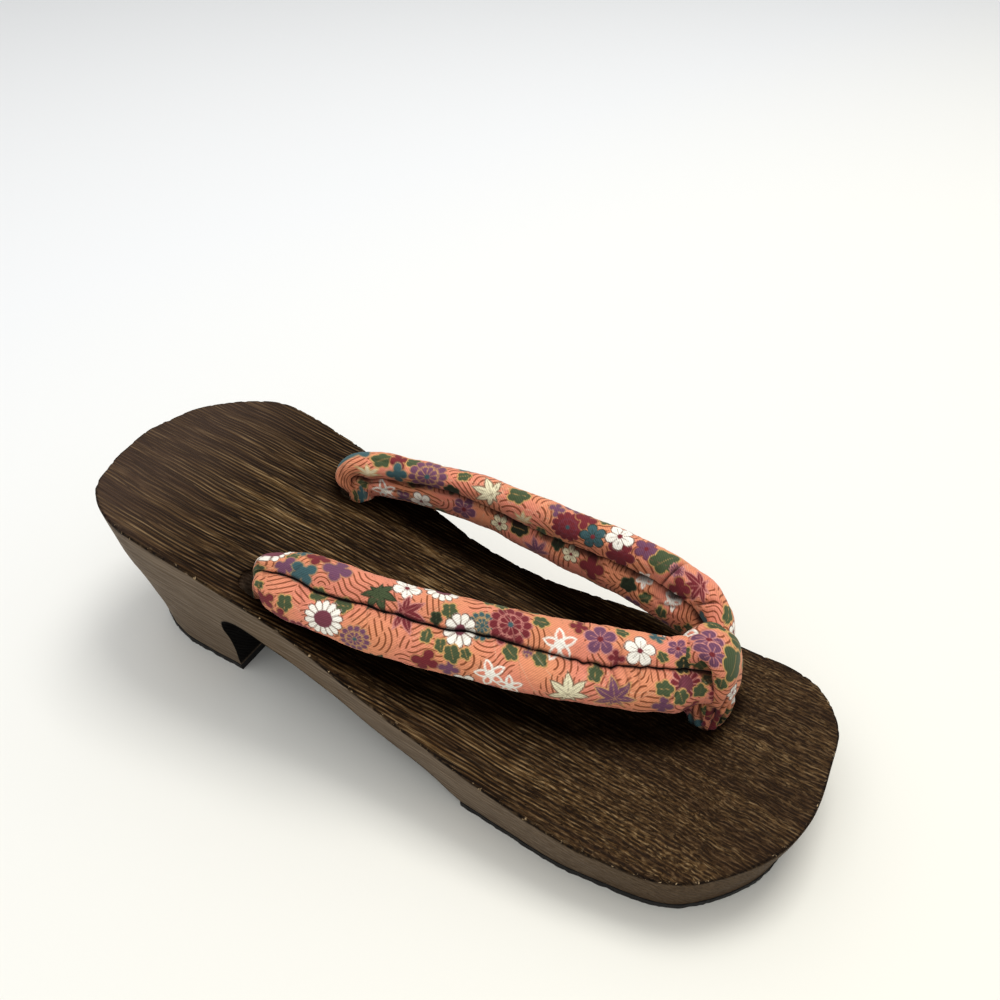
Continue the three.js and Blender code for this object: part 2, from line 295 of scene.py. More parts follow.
def mesh_piece(name, points, quads, material, sharp_degrees=40.0):
    """A smooth-shaded object from points and quads, its faces outward."""
    points = np.asarray(points, float).reshape(-1, 3)
    a, b, c, d = (points[quads[:, k]] for k in range(4))
    volume = (np.cross(a, b) * c).sum() + (np.cross(a, c) * d).sum()
    if volume < 0:
        quads = quads[:, ::-1]
    mesh = bpy.data.meshes.new(name)
    mesh.vertices.add(len(points))
    mesh.vertices.foreach_set("co", points.ravel())
    mesh.loops.add(quads.size)
    mesh.loops.foreach_set("vertex_index", quads.astype(np.int32).ravel())
    mesh.polygons.add(len(quads))
    mesh.polygons.foreach_set("loop_start", np.arange(0, quads.size, 4, dtype=np.int32))
    mesh.polygons.foreach_set("loop_total", np.full(len(quads), 4, dtype=np.int32))
    mesh.update(calc_edges=True)
    mesh.materials.append(material)
    piece = bpy.data.objects.new(name, mesh)
    bpy.context.scene.collection.objects.link(piece)
    shade(mesh, sharp_degrees)
    return piece


def shade(mesh, sharp_degrees):
    """Smooth shading that breaks at edges sharper than an angle."""
    mesh.polygons.foreach_set("use_smooth", np.ones(len(mesh.polygons), dtype=bool))
    mesh.set_sharp_from_angle(angle=np.radians(sharp_degrees))


def srgb(*values):
    """An sRGB colour in 0 to 255 as linear light."""
    s = np.array(values) / 255
    return tuple(np.where(s <= 0.04045, s / 12.92, ((s + 0.055) / 1.055) ** 2.4))


def weld(mesh, distance=2e-6):
    """Merges doubles and drops faces without area."""
    work = bmesh.new()
    work.from_mesh(mesh)
    bmesh.ops.remove_doubles(work, verts=work.verts, dist=distance)
    bmesh.ops.dissolve_degenerate(work, edges=work.edges, dist=1e-7)
    work.to_mesh(mesh)
    work.free()


def vertex_places(mesh):
    """The mesh's points as an array, in metres."""
    spots = np.empty(len(mesh.vertices) * 3, dtype=np.float32)
    mesh.vertices.foreach_get("co", spots)
    return spots.reshape(-1, 3).astype(float)


def store_value(mesh, name, values):
    """One number per point, kept on the mesh under a name."""
    layer = mesh.attributes.new(name, "FLOAT", "POINT")
    layer.data.foreach_set("value", np.asarray(values, np.float32).ravel())


def declare(piece, slot, *nodes):
    """The piece stands for CAD nodes and rides on the one body; slot is not used."""
    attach(piece, "root")
    if nodes:
        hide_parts(*nodes)
    return piece


# The sole's surfaces

def edge_and_outward(turn):
    """The top's edge and its outward direction in plan, as (offset, -station) pairs."""
    points = np.stack([OUTLINE[:, 1] * BALL_WIDTH, -OUTLINE[:, 0] * SOLE_LENGTH], axis=-1)
    turn = np.mod(turn, 1.0)
    step = 1e-4
    edge = cubic_through(points, turn, closed=True, even=True)
    ahead = cubic_through(points, np.mod(turn + step, 1.0), closed=True, even=True)
    behind = cubic_through(points, np.mod(turn - step, 1.0), closed=True, even=True)
    tangent = ahead - behind
    tangent /= np.linalg.norm(tangent, axis=-1, keepdims=True)
    return edge, np.stack([tangent[..., 1], -tangent[..., 0]], axis=-1)


def plain_wall(turn, depth):
    """The wall without its wander: its plan place, the top's height over it and outward."""
    edge, outward = edge_and_outward(turn)
    top = top_height(-edge[..., 1])
    side = OUTER_DRAFT + (BIG_TOE_DRAFT - OUTER_DRAFT) * np.maximum(outward[..., 0], 0) ** 2
    draft = side + (HEEL_DRAFT - side) * np.maximum(outward[..., 1], 0)
    lean = top * np.tan(np.radians(draft))
    inset = lean * (depth - WALL_SWELL * np.sin(2 * np.pi * depth) / (2 * np.pi))
    return edge - outward * inset[..., None], top, outward


def wall_place(turn, depth):
    """The wall at a turn round the outline and a share of the way down: (station, offset, height).

    It leans in by its draft and swells a little, and it wanders, being cut by hand.
    """
    spot, top, outward = plain_wall(turn, depth)
    wander = WALL_WANDER * waves(np.stack([spot[..., 0], spot[..., 1], top * depth], axis=-1), 9, 30, 3)
    spot = spot + outward * (wander * smooth_step(0, 0.05, depth))[..., None]
    return np.stack([-spot[..., 1], spot[..., 0], top * (1 - depth)], axis=-1)


def foot_station(turn, height):
    """The station at which the plain wall comes down to a height."""
    edge, _ = edge_and_outward(turn)
    spot, _, _ = plain_wall(turn, 1 - height / top_height(-edge[..., 1]))
    return -spot[..., 1]


def tip_turns():
    """The turns of the heel tip and the toe tip of the underside's outline."""
    near = np.linspace(-0.06, 0.06, 4001)
    heel = near[foot_station(near, RUBBER).argmin()]
    toe = 0.5 + near[foot_station(0.5 + near, RUBBER).argmax()]
    return heel, toe


def turn_at(station, height, big_toe_side):
    """The turn whose wall passes a station at a height, found by halving."""
    heel, toe = tip_turns()
    start = heel + 1 if big_toe_side else heel
    low, high = np.full_like(station, start), np.full_like(station, toe)
    for _ in range(34):
        middle = (low + high) / 2
        behind = foot_station(middle, height) < station
        low, high = np.where(behind, middle, low), np.where(behind, high, middle)
    turn = (low + high) / 2
    at_heel = station < foot_station(heel, RUBBER) + 0.01
    at_toe = station > foot_station(toe, RUBBER) - 0.01
    return np.where(at_toe, toe, np.where(at_heel, start, turn))


def eased(start, end, count, ends="first"):
    """Values from start to end, close together at the first end or the last."""
    t = np.linspace(0, np.pi / 2, count)
    share = 1 - np.cos(t) if ends == "first" else np.sin(t)
    return start + (end - start) * share


def underside():
    """Stations and heights along the underside: heel, heel face, crown, long slope, forefoot."""
    tips = foot_station(np.array(tip_turns()), RUBBER)
    face_top = HEEL_BLOCK_END + HEEL_FACE_LEAN
    run = ARCH_CROWN_STATION - face_top
    fall = (ARCH_CROWN_HEIGHT - RUBBER) / (FOREFOOT_START - ARCH_CROWN_STATION)
    t = np.linspace(0, 1, 30)[:, None]
    corners = np.array([
        (face_top, ARCH_SHOULDER),
        (face_top + run * 0.1, ARCH_CROWN_HEIGHT - 1),
        (ARCH_CROWN_STATION - run * 0.2, ARCH_CROWN_HEIGHT + run * 0.2 * fall + 1),
        (ARCH_CROWN_STATION + run * 0.8, ARCH_CROWN_HEIGHT - run * 0.8 * fall),
    ])
    crown = (
        (1 - t) ** 3 * corners[0] + 3 * t * (1 - t) ** 2 * corners[1]
        + 3 * t**2 * (1 - t) * corners[2] + t**3 * corners[3]
    )
    heel = np.stack([eased(tips[0] + 0.005, HEEL_BLOCK_END, 74), np.full(74, RUBBER)], axis=-1)
    face = np.linspace((HEEL_BLOCK_END, RUBBER), (face_top, ARCH_SHOULDER), 16)[1:-1]
    slope = np.linspace(crown[-1], (FOREFOOT_START, RUBBER), 70)[1:]
    fore = np.stack([eased(FOREFOOT_START, tips[1] - 0.005, 110, "last"), np.full(110, RUBBER)], axis=-1)
    return np.concatenate([heel, face, crown, slope, fore[1:]])


def sole_rings(nick_depth):
    """Rings of the sole, each over the top, down the outer wall, under and up the big toe wall.

    Each ring ends on both walls at one station of the underside. The top's edge is rounded by a
    parabola between a point on the top and one on the wall, pushed in where the edge is nicked.
    """
    across, down, under, bend = 58, 26, 30, 6
    line = underside()
    station, height = line[:, 0], line[:, 1]
    walls = []
    for big_toe_side in (False, True):
        turn = turn_at(station, height, big_toe_side)
        edge, outward = edge_and_outward(turn)
        top = top_height(-edge[:, 1])
        radius = EDGE_RADIUS + EDGE_WANDER * waves(turn * 600, 8, 30, 5)
        inner = edge - outward * radius[:, None]
        on_top = np.stack([-inner[:, 1], inner[:, 0], top_height(-inner[:, 1])], axis=-1)
        corner = np.stack([-edge[:, 1], edge[:, 0], top], axis=-1)
        on_wall = wall_place(turn, radius / top)
        nick = nick_depth * np.maximum(waves(turn * 600, 1.2, 7, 7, 14) - 0.35, 0)
        corner[:, 0] += outward[:, 1] * nick
        corner[:, 1] -= outward[:, 0] * nick
        corner[:, 2] -= nick
        t = np.linspace(0, 1, bend)[None, :, None]
        fillet = (1 - t) ** 2 * on_top[:, None] + 2 * t * (1 - t) * corner[:, None] + t**2 * on_wall[:, None]
        last = 1 - height / top
        depth = (radius / top)[:, None] + (last - radius / top)[:, None] * np.linspace(0, 1, down)
        wall = wall_place(turn[:, None] + 0 * depth, depth)
        walls.append((fillet, wall))
    (outer_bend, outer_wall), (inner_bend, inner_wall) = walls
    share = np.linspace(0, 1, across)[None, :, None]
    top_row = inner_bend[:, :1] * (1 - share) + outer_bend[:, :1] * share
    top_row[..., 2] = top_height(top_row[..., 0])
    share = np.linspace(0, 1, under)[None, :, None]
    base_row = outer_wall[:, -1:] * (1 - share) + inner_wall[:, -1:] * share
    return np.concatenate([
        top_row[:, :-1], outer_bend[:, :-1], outer_wall[:, :-1],
        base_row[:, :-1], inner_wall[:, :0:-1], inner_bend[:, :0:-1],
    ], axis=1)


def painted_band_shadow_share(station, offset):
    """How much painted shadow of the bands darkens the wood: full under them, fading over the next few
    millimetres.
    """
    spots = np.stack([station, offset], axis=-1)
    near = np.full(len(spots), 99.0)
    for rows in (OUTER_BAND, BIG_TOE_BAND):
        turn = np.linspace(0, 0.93, 160)
        path = cubic_through(rows[:, :2] * (SOLE_LENGTH, BALL_WIDTH), turn)
        away = np.linalg.norm(spots[:, None] - path[None], axis=-1)
        near = np.minimum(near, away.min(axis=1))
    return smooth_step(*BAND_SHADOW_FADE, near)


def hole_cutter(name, station, offset, radius, seed, material):
    """A ragged upright plug: its radius wanders by a few tenths round and down."""
    sides, levels = 56, 12
    angle = np.linspace(0, 2 * np.pi, sides, endpoint=False)[None, :]
    height = np.linspace(*PLUG_HEIGHTS, levels)[:, None]
    round_it = np.stack([
        np.cos(angle) * radius + 0 * height, np.sin(angle) * radius + 0 * height,
        height * 0.2 + 0 * angle,
    ], axis=-1)
    size = radius + HOLE_WANDER * waves(round_it, 2.5, 8, seed)
    ring = place(station + size * np.cos(angle), offset + size * np.sin(angle), height + 0 * angle)
    plug = mesh_piece(name, close_ends(ring)[0], grid_faces(levels + 2, sides), material)
    weld(plug.data)
    return plug


def cut(piece, tools):
    """Cuts closed tools out of a piece and keeps the result as its plain mesh."""
    for tool in tools:
        step = piece.modifiers.new(tool.name, "BOOLEAN")
        step.operation, step.solver, step.object = "DIFFERENCE", "EXACT", tool
    graph = bpy.context.evaluated_depsgraph_get()
    result = bpy.data.meshes.new_from_object(piece.evaluated_get(graph))
    piece.modifiers.clear()
    old, piece.data = piece.data, result
    bpy.data.meshes.remove(old)
    for tool in tools:
        mesh = tool.data
        bpy.data.objects.remove(tool)
        bpy.data.meshes.remove(mesh)


def rubber_rings(line, cap_start, cap_end):
    """Rings of a rubber sheet that follows the wall's foot and stands out by a rough 0.3 mm."""
    levels = np.array([RUBBER, RUBBER - 0.12, RUBBER * 0.5, 0.12, 0.0])
    proud = np.array([-0.3, 0.25, 0.35, 0.3, 0.1])
    sides = []
    for big_toe_side in (False, True):
        turn = turn_at(line, np.full_like(line, RUBBER), big_toe_side)
        edge, outward = edge_and_outward(turn)
        top = top_height(-edge[:, 1])
        foot = wall_place(turn[:, None] + 0 * levels, 1 - levels / top[:, None])
        rough = 0.12 * waves(turn * 600, 1.5, 12, 11, 12)
        shift = (proud + rough[:, None])[..., None] * outward[:, None]
        foot[..., 0] -= shift[..., 1]
        foot[..., 1] += shift[..., 0]
        foot[..., 2] = levels
        sides.append(foot)
    share = np.linspace(0, 1, 12)[None, 1:-1, None]
    upper = sides[1][:, :1] * (1 - share) + sides[0][:, :1] * share
    lower = sides[0][:, -1:] * (1 - share) + sides[1][:, -1:] * share
    rings = np.concatenate([upper, sides[0], lower, sides[1][:, ::-1]], axis=1)
    for end, wanted in ((0, cap_start), (-1, cap_end)):
        if wanted:
            middle = np.broadcast_to(rings[end].mean(axis=0), rings[end].shape)[None]
            rings = np.concatenate([middle, rings] if end == 0 else [rings, middle])
    return rings


# The padded pieces' surfaces

def frames_along(path, up):
    """The upward and sideways directions at each point of a path."""
    forward = np.gradient(path, axis=0)
    forward /= np.linalg.norm(forward, axis=1, keepdims=True)
    up = up - (up * forward).sum(axis=1, keepdims=True) * forward
    up /= np.linalg.norm(up, axis=1, keepdims=True)
    return up, np.cross(forward, up)


def run_along(path):
    """How far along a path each of its points lies."""
    return np.concatenate([[0], np.cumsum(np.linalg.norm(np.diff(path, axis=0), axis=1))])


def even_angles(count, wide, thick):
    """Angles whose points on an ellipse are evenly spaced round it, and the way round."""
    fine = np.linspace(0, 2 * np.pi, 2001)
    x, y = wide * np.cos(fine), thick * np.sin(fine)
    run = np.concatenate([[0], np.cumsum(np.hypot(np.diff(x), np.diff(y)))])
    return np.interp(np.linspace(0, run[-1], count, endpoint=False), run, fine), run[-1]


def unrolled(along, angle, girth):
    """Each grid point's run along a piece and round its section."""
    count = angle.shape[1]
    round_run = np.linspace(0, girth, count, endpoint=False)[None, :] + 0 * along[:, None]
    return np.stack([along[:, None] + 0 * angle, round_run], axis=-1)


def bell(value, width):
    """1 at 0, falling evenly on both sides."""
    return np.exp(-((value / width) ** 2))


def blunt(value, power):
    """A sine or cosine made blunter, which squares an ellipse a little."""
    return np.sign(value) * np.abs(value) ** power


def about(spot, girth, u, v, turn):
    """Each point's place about one spot of the cloth, along a direction and square to it."""
    du = spot[..., 0] - u
    dv = np.mod(spot[..., 1] - v + girth / 2, girth) - girth / 2
    c, s = np.cos(np.radians(turn)), np.sin(np.radians(turn))
    return du * c + dv * s, -du * s + dv * c


def pressed(spot, girth, tucks):
    """How far tucks press the cloth in, in millimetres, and how shaded each point is.

    A tuck is a short line (along, around, length, turn in degrees, depth) with a rounded swell on
    both of its sides.
    """
    press, shaded = np.zeros(spot.shape[:-1]), np.zeros(spot.shape[:-1])
    for u, v, length, turn, deep in tucks:
        x, y = about(spot, girth, u, v, turn)
        bow = y - TUCK_BOW * (x**2 / length)
        reach = smooth_step(length * 0.62, length * 0.2, np.abs(x))
        swell = 0.5 * bell(np.abs(bow) - 1.5, 0.9)
        press += deep * reach * (bell(bow, TUCK_WIDTH) - swell)
        shaded = np.maximum(shaded, min(1.0, deep) * reach * bell(bow, TUCK_SHADE))
    return press, shaded


def band_frames(rows, side, hole_offset):
    """A band's run, middle line, sizes and the directions of its width and of its outer face."""
    end = SIDE_HOLE_STATION + (2 * SIDE_HOLE_RADIUS - STRAP_END_DIAMETER) / 2 - CLEARANCE
    mouth = float(top_height(end))
    station = rows[:, 0] * SOLE_LENGTH
    middle = np.stack([
        rows[:, 1] * BALL_WIDTH, -station, top_height(station) + rows[:, 2] * STRAP_RISE,
    ], axis=-1)
    path_points = np.concatenate([
        [(hole_offset, -end, mouth - STRAP_END_DEPTH), (hole_offset, -end, mouth)], middle,
    ])
    sizes = np.stack([rows[:, 4] * STRAP_WIDTH, rows[:, 5] * STRAP_THICKNESS, rows[:, 3]], axis=-1)
    size_points = np.concatenate([
        np.tile([(STRAP_END_DIAMETER, STRAP_END_DIAMETER, rows[0, 3])], (2, 1)), sizes,
    ])
    t = np.linspace(0, 1, 1201)
    run = run_along(cubic_through(path_points, t))
    along = np.linspace(0, run[-1], BAND_GRID[0])
    t = np.interp(along, run, t)
    path = cubic_through(path_points, t)
    size = cubic_through(size_points, t, even=True, tension=0.3)
    up = np.stack([0 * t, STRAP_TURN + STRAP_END_TURN * (1 - t) ** 4, 1 + 0 * t], axis=-1)
    up, sideways = frames_along(path, up)
    outward = -side * sideways
    lean = np.radians(size[:, 2:3])
    wide_way = up * np.cos(lean) - outward * np.sin(lean)
    face_way = outward * np.cos(lean) + up * np.sin(lean)
    return along, path, size, wide_way, face_way


def creased(along, cosine, sine, side, seed, fold, creases):
    """What the creases do at each point of a band, one path on each face.

    Returns the share of the thickness that they leave, how close a crease is, how much painted
    shade the point takes, and how many half widths of a crease's painted shadow line it lies from
    that line's middle.
    """
    dip, groove, shaded, close = (np.zeros((len(along), cosine.shape[1])) for _ in range(4))
    crease_shadow_line = np.full(dip.shape, FAR_FROM_FOLD)
    ease_in = smooth_step(STRAP_END_DEPTH, STRAP_END_DEPTH + STRAP_EASE, along)[:, None]
    for face, path_rows in creases:
        path_rows = np.array(path_rows)
        centre = np.interp(along, path_rows[:, 0], path_rows[:, 1])[:, None]
        centre = centre + 0.012 * waves(along, 6, 16, seed + face)[:, None]
        wobble = waves(along, 2.5, 8, seed + face + 9) * smooth_step(88, 108, along)
        centre = centre + 0.016 * wobble[:, None]
        facing = smooth_step(0, 0.4, face * sine)
        near = cosine - centre
        dip += fold * bell(near, 0.36) * facing
        groove += GROOVE_DEPTH * bell(near, 0.04) * facing * ease_in
        close += bell(near, 0.35) * facing
        width = 0.2 + 0.08 * waves(along, 3, 12, seed + face + 5)
        width = width + 0.09 * smooth_step(100, 80, along)
        width = np.maximum(width, 0.08)[:, None] * ease_in + 1e-3
        crease_shadow_line = np.where(face * sine > 0, near * STRAP_WIDTH / 2 / width, crease_shadow_line)
        # Painted shade beside each crease and, on the big toe band, under its overhanging lobe.
        beside = 0.4 * bell(near, 0.045) + 0.18 * bell(near, 0.11)
        overhung = (side > 0) * (0.5 + 0.3 * waves(along, 8, 30, seed + face + 7))[:, None]
        beside = beside + overhung * bell(near + 0.07, 0.07)
        shaded += beside * facing * ease_in
    return 1 - dip - groove, close, shaded, np.clip(crease_shadow_line, -FAR_FROM_FOLD, FAR_FROM_FOLD)


def band_surface(rows, side, hole_offset, seed, fold, creases, tucks):
    """A padded band: an oval carried from its side hole to the toe loop.

    Each crease presses one face of the oval in, which makes two lobes; puckers and slack are sums
    of waves that fade away from the creases. Returns points, the run along the band and round the
    section in millimetres, how much painted shade each point takes, and its place beside the
    crease's painted shadow line.
    """
    along, path, size, wide_way, face_way = band_frames(rows, side, hole_offset)
    angle, girth = even_angles(BAND_GRID[1], STRAP_WIDTH / 2, STRAP_THICKNESS / 2)
    angle = angle[None, :]
    cosine, sine = np.cos(angle), np.sin(angle)
    spot = unrolled(along, angle, girth)
    left, close, shaded, crease_shadow_line = creased(along, cosine, sine, side, seed, fold, creases)
    ease_in = smooth_step(STRAP_END_DEPTH, STRAP_END_DEPTH + STRAP_EASE, along)[:, None]
    pucker = waves(spot * [1.0, 0.25], 2.2, 6, seed + 1, 12) * close
    slack = waves(spot * [1.0, 0.55], 7, 26, seed + 2, 12)
    knot = smooth_step(along[-1] - 34, along[-1] - 6, along)[:, None]
    press, tucked = pressed(spot, girth, tucks)
    swell = PUCKER * pucker * ease_in + (SLACK + KNOT_SLACK * knot) * slack
    swell += 0.05 * waves(spot, 1.2, 3, seed + 3) - press
    wide = (size[:, 0:1] / 2 + swell) * blunt(cosine, 0.94)
    thick = (size[:, 1:2] / 2 + swell) * left * blunt(sine, 0.94)
    points = path[:, None] + wide[..., None] * wide_way[:, None] + thick[..., None] * face_way[:, None]
    # Painted shade on the outer band where the toe loop lies against it.
    beside = np.abs(points[..., 0] - TOE_HOLE_OFFSET) - LOOP_TOUCH
    loop_contact_shade = smooth_step(0.5, 0.0, beside) * smooth_step(along[-1] - 18, along[-1] - 14, along)[:, None]
    loop_contact_shade = loop_contact_shade * (side < 0) * smooth_step(girth * 0.1, girth * 0.25, spot[..., 1])
    return points, spot, np.clip(shaded + tucked + 0.75 * loop_contact_shade, 0, 1), crease_shadow_line


def close_ends(points, *values):
    """Adds a fan at each end: one more ring gathered to the middle of the end ring."""
    first = np.broadcast_to(points[:1].mean(axis=1, keepdims=True), points[:1].shape)
    last = np.broadcast_to(points[-1:].mean(axis=1, keepdims=True), points[-1:].shape)
    grown = [np.concatenate([first, points, last])]
    grown += [np.concatenate([v[:1], v, v[-1:]]) for v in values]
    return grown


def cloth_piece(
    name, points, spot, shaded, girth, motifs, patches, material, crease_shadow_line=FAR_FROM_FOLD,
):
    """A padded piece with its cloth coordinates, its print, and the painted shade of its creases and
    tucks and the painted shadow line along its creases kept on it.

    points are (offset, -station, height) in millimetres on a grid that wraps round its sections.
    """
    rows, columns = points.shape[:2]
    spots = place(-points[..., 1], points[..., 0], points[..., 2])
    piece = mesh_piece(name, spots, grid_faces(rows, columns), material, 180.0)
    mesh = piece.data
    layer = mesh.attributes.new("print", "FLOAT_COLOR", "POINT")
    layer.data.foreach_set("color", paint(spot, girth, motifs).astype(np.float32).ravel())
    phase, drawn = line_phase(spot, girth, patches)
    # The first two values are painted: shade in creases and tucks, and the place of a shadow line along each
    # crease.
    for label, values in (
        ("crease", shaded), ("crease_shadow_line", crease_shadow_line + 0 * shaded), ("line_phase", phase),
        ("line_mask", drawn),
    ):
        store_value(mesh, label, values)
    corner = np.empty(len(mesh.loops), dtype=np.int32)
    mesh.loops.foreach_get("vertex_index", corner)
    flat = spot.reshape(-1, 2)[corner]
    around = flat.reshape(-1, 4, 2)
    far = around[..., 1].max(axis=1, keepdims=True) - around[..., 1] > girth / 2
    around[..., 1] += np.where(far, girth, 0)
    layer = mesh.uv_layers.new(name="cloth")
    layer.data.foreach_set("uv", (around.reshape(-1, 2) / CLOTH_TILE).astype(np.float32).ravel())
    return piece


def loop_surface():
    """The toe loop: a padded oval roll carried round the bands and down into the front hole."""
    base = float(top_height(TOE_HOLE_STATION))
    t = np.linspace(0, 1, LOOP_GRID[0], endpoint=False)
    points = np.stack([
        TOE_HOLE_OFFSET + 0 * LOOP[:, 0],
        -(TOE_HOLE_STATION + LOOP[:, 0] * LOOP_SPAN),
        base + LOOP[:, 1] * LOOP_HEIGHT,
    ], axis=-1)
    path = cubic_through(points, t, closed=True)
    closed = np.concatenate([path[-1:], path, path[:1]])
    forward = closed[2:] - closed[:-2]
    forward /= np.linalg.norm(forward, axis=1, keepdims=True)
    across = np.array([1.0, 0.0, 0.0])
    outward = np.cross(across, forward)
    run = run_along(path)
    angle, girth = even_angles(LOOP_GRID[1], *LOOP_MEAN_HALVES)
    angle = angle[None, :]
    cosine, sine = np.cos(angle), np.sin(angle)
    spot = unrolled(run, angle, girth)
    low = smooth_step(0.62, 0.12, (path[:, 2] - base) / LOOP_HEIGHT)[:, None]
    press, tucked = pressed(spot, girth, LOOP_TUCKS)
    ring = np.stack([
        cosine * 5 + 0 * run[:, None], sine * 5 + 0 * run[:, None], run[:, None] + 0 * angle,
    ], axis=-1)
    swell = (0.25 + 0.3 * low) * waves(ring, 4, 13, 41, 12) - press
    wide = (LOOP_HALF_WIDTH - 2.6 * low + swell) * blunt(cosine, 0.9)
    thick = (LOOP_HALF_THICKNESS - 0.3 * low + swell) * blunt(sine, 0.9)
    surface = path[:, None] + wide[..., None] * across + thick[..., None] * outward[:, None]
    # The last values are the painted shade in the tucks.
    return surface, spot, np.clip(tucked, 0, 1), girth


def foot_surface():
    """The gathered foot of the toe loop: a fluted post from inside the hole up between its legs."""
    base = float(top_height(TOE_HOLE_STATION))
    height = np.linspace(base - FOOT_DEPTH, base + FOOT_RISE, FOOT_GRID[0])[:, None]
    angle = np.linspace(0, 2 * np.pi, FOOT_GRID[1], endpoint=False)[None, :]
    twist = angle + (height - base) * 0.06
    flute = 0.35 * np.abs(np.sin(3.5 * twist + 0.6 * np.sin(2 * twist))) + 0.2 * np.sin(9 * twist)
    narrowing = smooth_step(base + 5, base + FOOT_RISE, height)
    radius = FOOT_RADIUS - 0.35 + flute * 0.9 - 1.1 * narrowing
    points = np.stack([
        TOE_HOLE_OFFSET + radius * np.cos(angle),
        -TOE_HOLE_STATION + radius * 0.98 * np.sin(angle) + 0 * height,
        height + 0 * angle,
    ], axis=-1)
    spot = np.stack([
        height - base + FOOT_DEPTH + 0 * angle, angle * FOOT_RADIUS + 0 * height,
    ], axis=-1)
    # The last values are painted shade in the grooves between the flutes.
    return points, spot, smooth_step(0.2, -0.1, flute) + 0 * height, 2 * np.pi * FOOT_RADIUS


# The print

INKS = {
    "white": (252, 248, 236), "cream": (240, 232, 198), "burgundy": (128, 54, 60),
    "plum": (126, 70, 82), "purple": (124, 84, 108), "teal": (74, 104, 108),
    "green": (84, 96, 68), "dark_green": (50, 58, 42), "coral": (231, 149, 125),
    "peach": (229, 155, 118), "tan": (216, 172, 112), "brown": (96, 50, 28), "pink": (220, 156, 144),
}


def ink(name):
    """A print colour as linear light."""
    return np.array(srgb(*INKS[name]))


def on_motif(spot, girth, row):
    """Plan coordinates about a motif's own centre and direction: x, y, radius and angle."""
    x, y = about(spot, girth, row[1], row[2], row[4])
    return x, y, np.hypot(x, y), np.arctan2(y, x)


def soft(width, value):
    """1 where value is well below 0, 0 where well above, easing over a width."""
    return smooth_step(width, -width, value)


def petals(r, angle, size, count, slim, gap):
    """A flower of round petals: its filled share and the lines between and round the petals."""
    share = np.abs(np.mod(angle * count / (2 * np.pi) + 0.5, 1.0) - 0.5) * 2
    edge = r - size * (1 - slim * share**2.6)
    between = (1 - share) * np.pi / count * r
    lines = np.maximum(soft(0.15, between - gap) * (r > 0.2 * size), soft(0.12, np.abs(edge + 0.2) - 0.19))
    return soft(0.14, edge), lines, share


def draw_daisy(x, y, r, angle, size, count=14, disc=0.46):
    """Narrow petals round a plum disc."""
    inside, lines, _ = petals(r, angle, size, count, 0.22, 0.14)
    return inside, lines, soft(0.12, r - disc * size)


def draw_white(x, y, r, angle, size):
    """Nine broad petals round a small disc."""
    return draw_daisy(x, y, r, angle, size, 9, 0.3)


def draw_mum(x, y, r, angle, size):
    """Two rings of petals, each outlined, round a small dark disc."""
    inside, lines, _ = petals(r, angle, size, 12, 0.2, 0.1)
    _, inner, _ = petals(r, angle, size * 0.56, 9, 0.2, 0.1)
    lines = np.where(r < 0.56 * size, inner, np.maximum(lines, soft(0.12, np.abs(r - 0.57 * size) - 0.1)))
    return inside, 0.75 * lines, soft(0.12, r - 0.13 * size)


def draw_plum(x, y, r, angle, size):
    """Five round petals with stamens and a burgundy eye."""
    inside, lines, share = petals(r, angle, size, 5, 0.42, 0.1)
    stamen = soft(0.12, share * np.pi / 5 * r - 0.08) * (r < 0.62 * size)
    return inside, np.maximum(lines, 0.8 * stamen), soft(0.1, r - 0.17 * size)


def draw_cloud(x, y, r, angle, size):
    """Four round lobes with a thin rim, as a flower seen from behind."""
    edge = r - 0.5 * size
    for at in (10, 95, 170, 280):
        lobe = np.hypot(x - 0.6 * size * np.cos(np.radians(at)), y - 0.6 * size * np.sin(np.radians(at)))
        edge = np.minimum(edge, lobe - 0.46 * size)
    return soft(0.2, edge), 0.6 * soft(0.12, np.abs(edge + 0.18) - 0.14), 0 * r


def draw_star(x, y, r, angle, size):
    """Five narrow petals, outlined only."""
    share = np.abs(np.mod(angle * 5 / (2 * np.pi) + 0.5, 1.0) - 0.5) * 2
    lens = 0.3 * size * np.sin(np.pi * np.clip(r / size, 0, 1)) ** 0.8
    off = share * np.pi / 5 * r - lens
    return soft(0.15, off) * (r < size), soft(0.12, off + 0.7) * (r > 0.3 * size), 0 * r


def draw_maple(x, y, r, angle, size):
    """Seven pointed lobes, outlined and veined."""
    edge, vein = r - 0.24 * size, 9 + 0 * r
    lobes = ((0, 1), (46, 0.95), (-46, 0.95), (94, 0.8), (-94, 0.8), (142, 0.5), (-142, 0.5))
    for at, length in lobes:
        c, s = np.cos(np.radians(at)), np.sin(np.radians(at))
        along, off = x * c + y * s, np.abs(-x * s + y * c)
        share = np.clip(along / (size * length), 0, 1)
        width = 0.21 * size * length * np.sin(np.pi * share**0.8)
        edge = np.minimum(edge, np.where(share < 1, off - width, 9))
        vein = np.minimum(vein, np.where((along > 0) & (share < 0.8), off, 9))
    lines = np.maximum(soft(0.12, np.abs(edge + 0.2) - 0.19), 0.8 * soft(0.14, vein - 0.07))
    return soft(0.14, edge), 0.9 * lines, 0 * r


def draw_leaf(x, y, r, angle, size):
    """A leaf of five round lobes with a pale rim and a vein."""
    edge = np.hypot(x, y * 1.2) - size * (0.82 + 0.26 * np.abs(np.cos(2.5 * angle)))
    vein = soft(0.12, np.abs(y) - 0.04) * (r < 0.6 * size)
    return soft(0.16, edge), np.maximum(soft(0.13, np.abs(edge + 0.2) - 0.2), 0.9 * vein), 0 * r


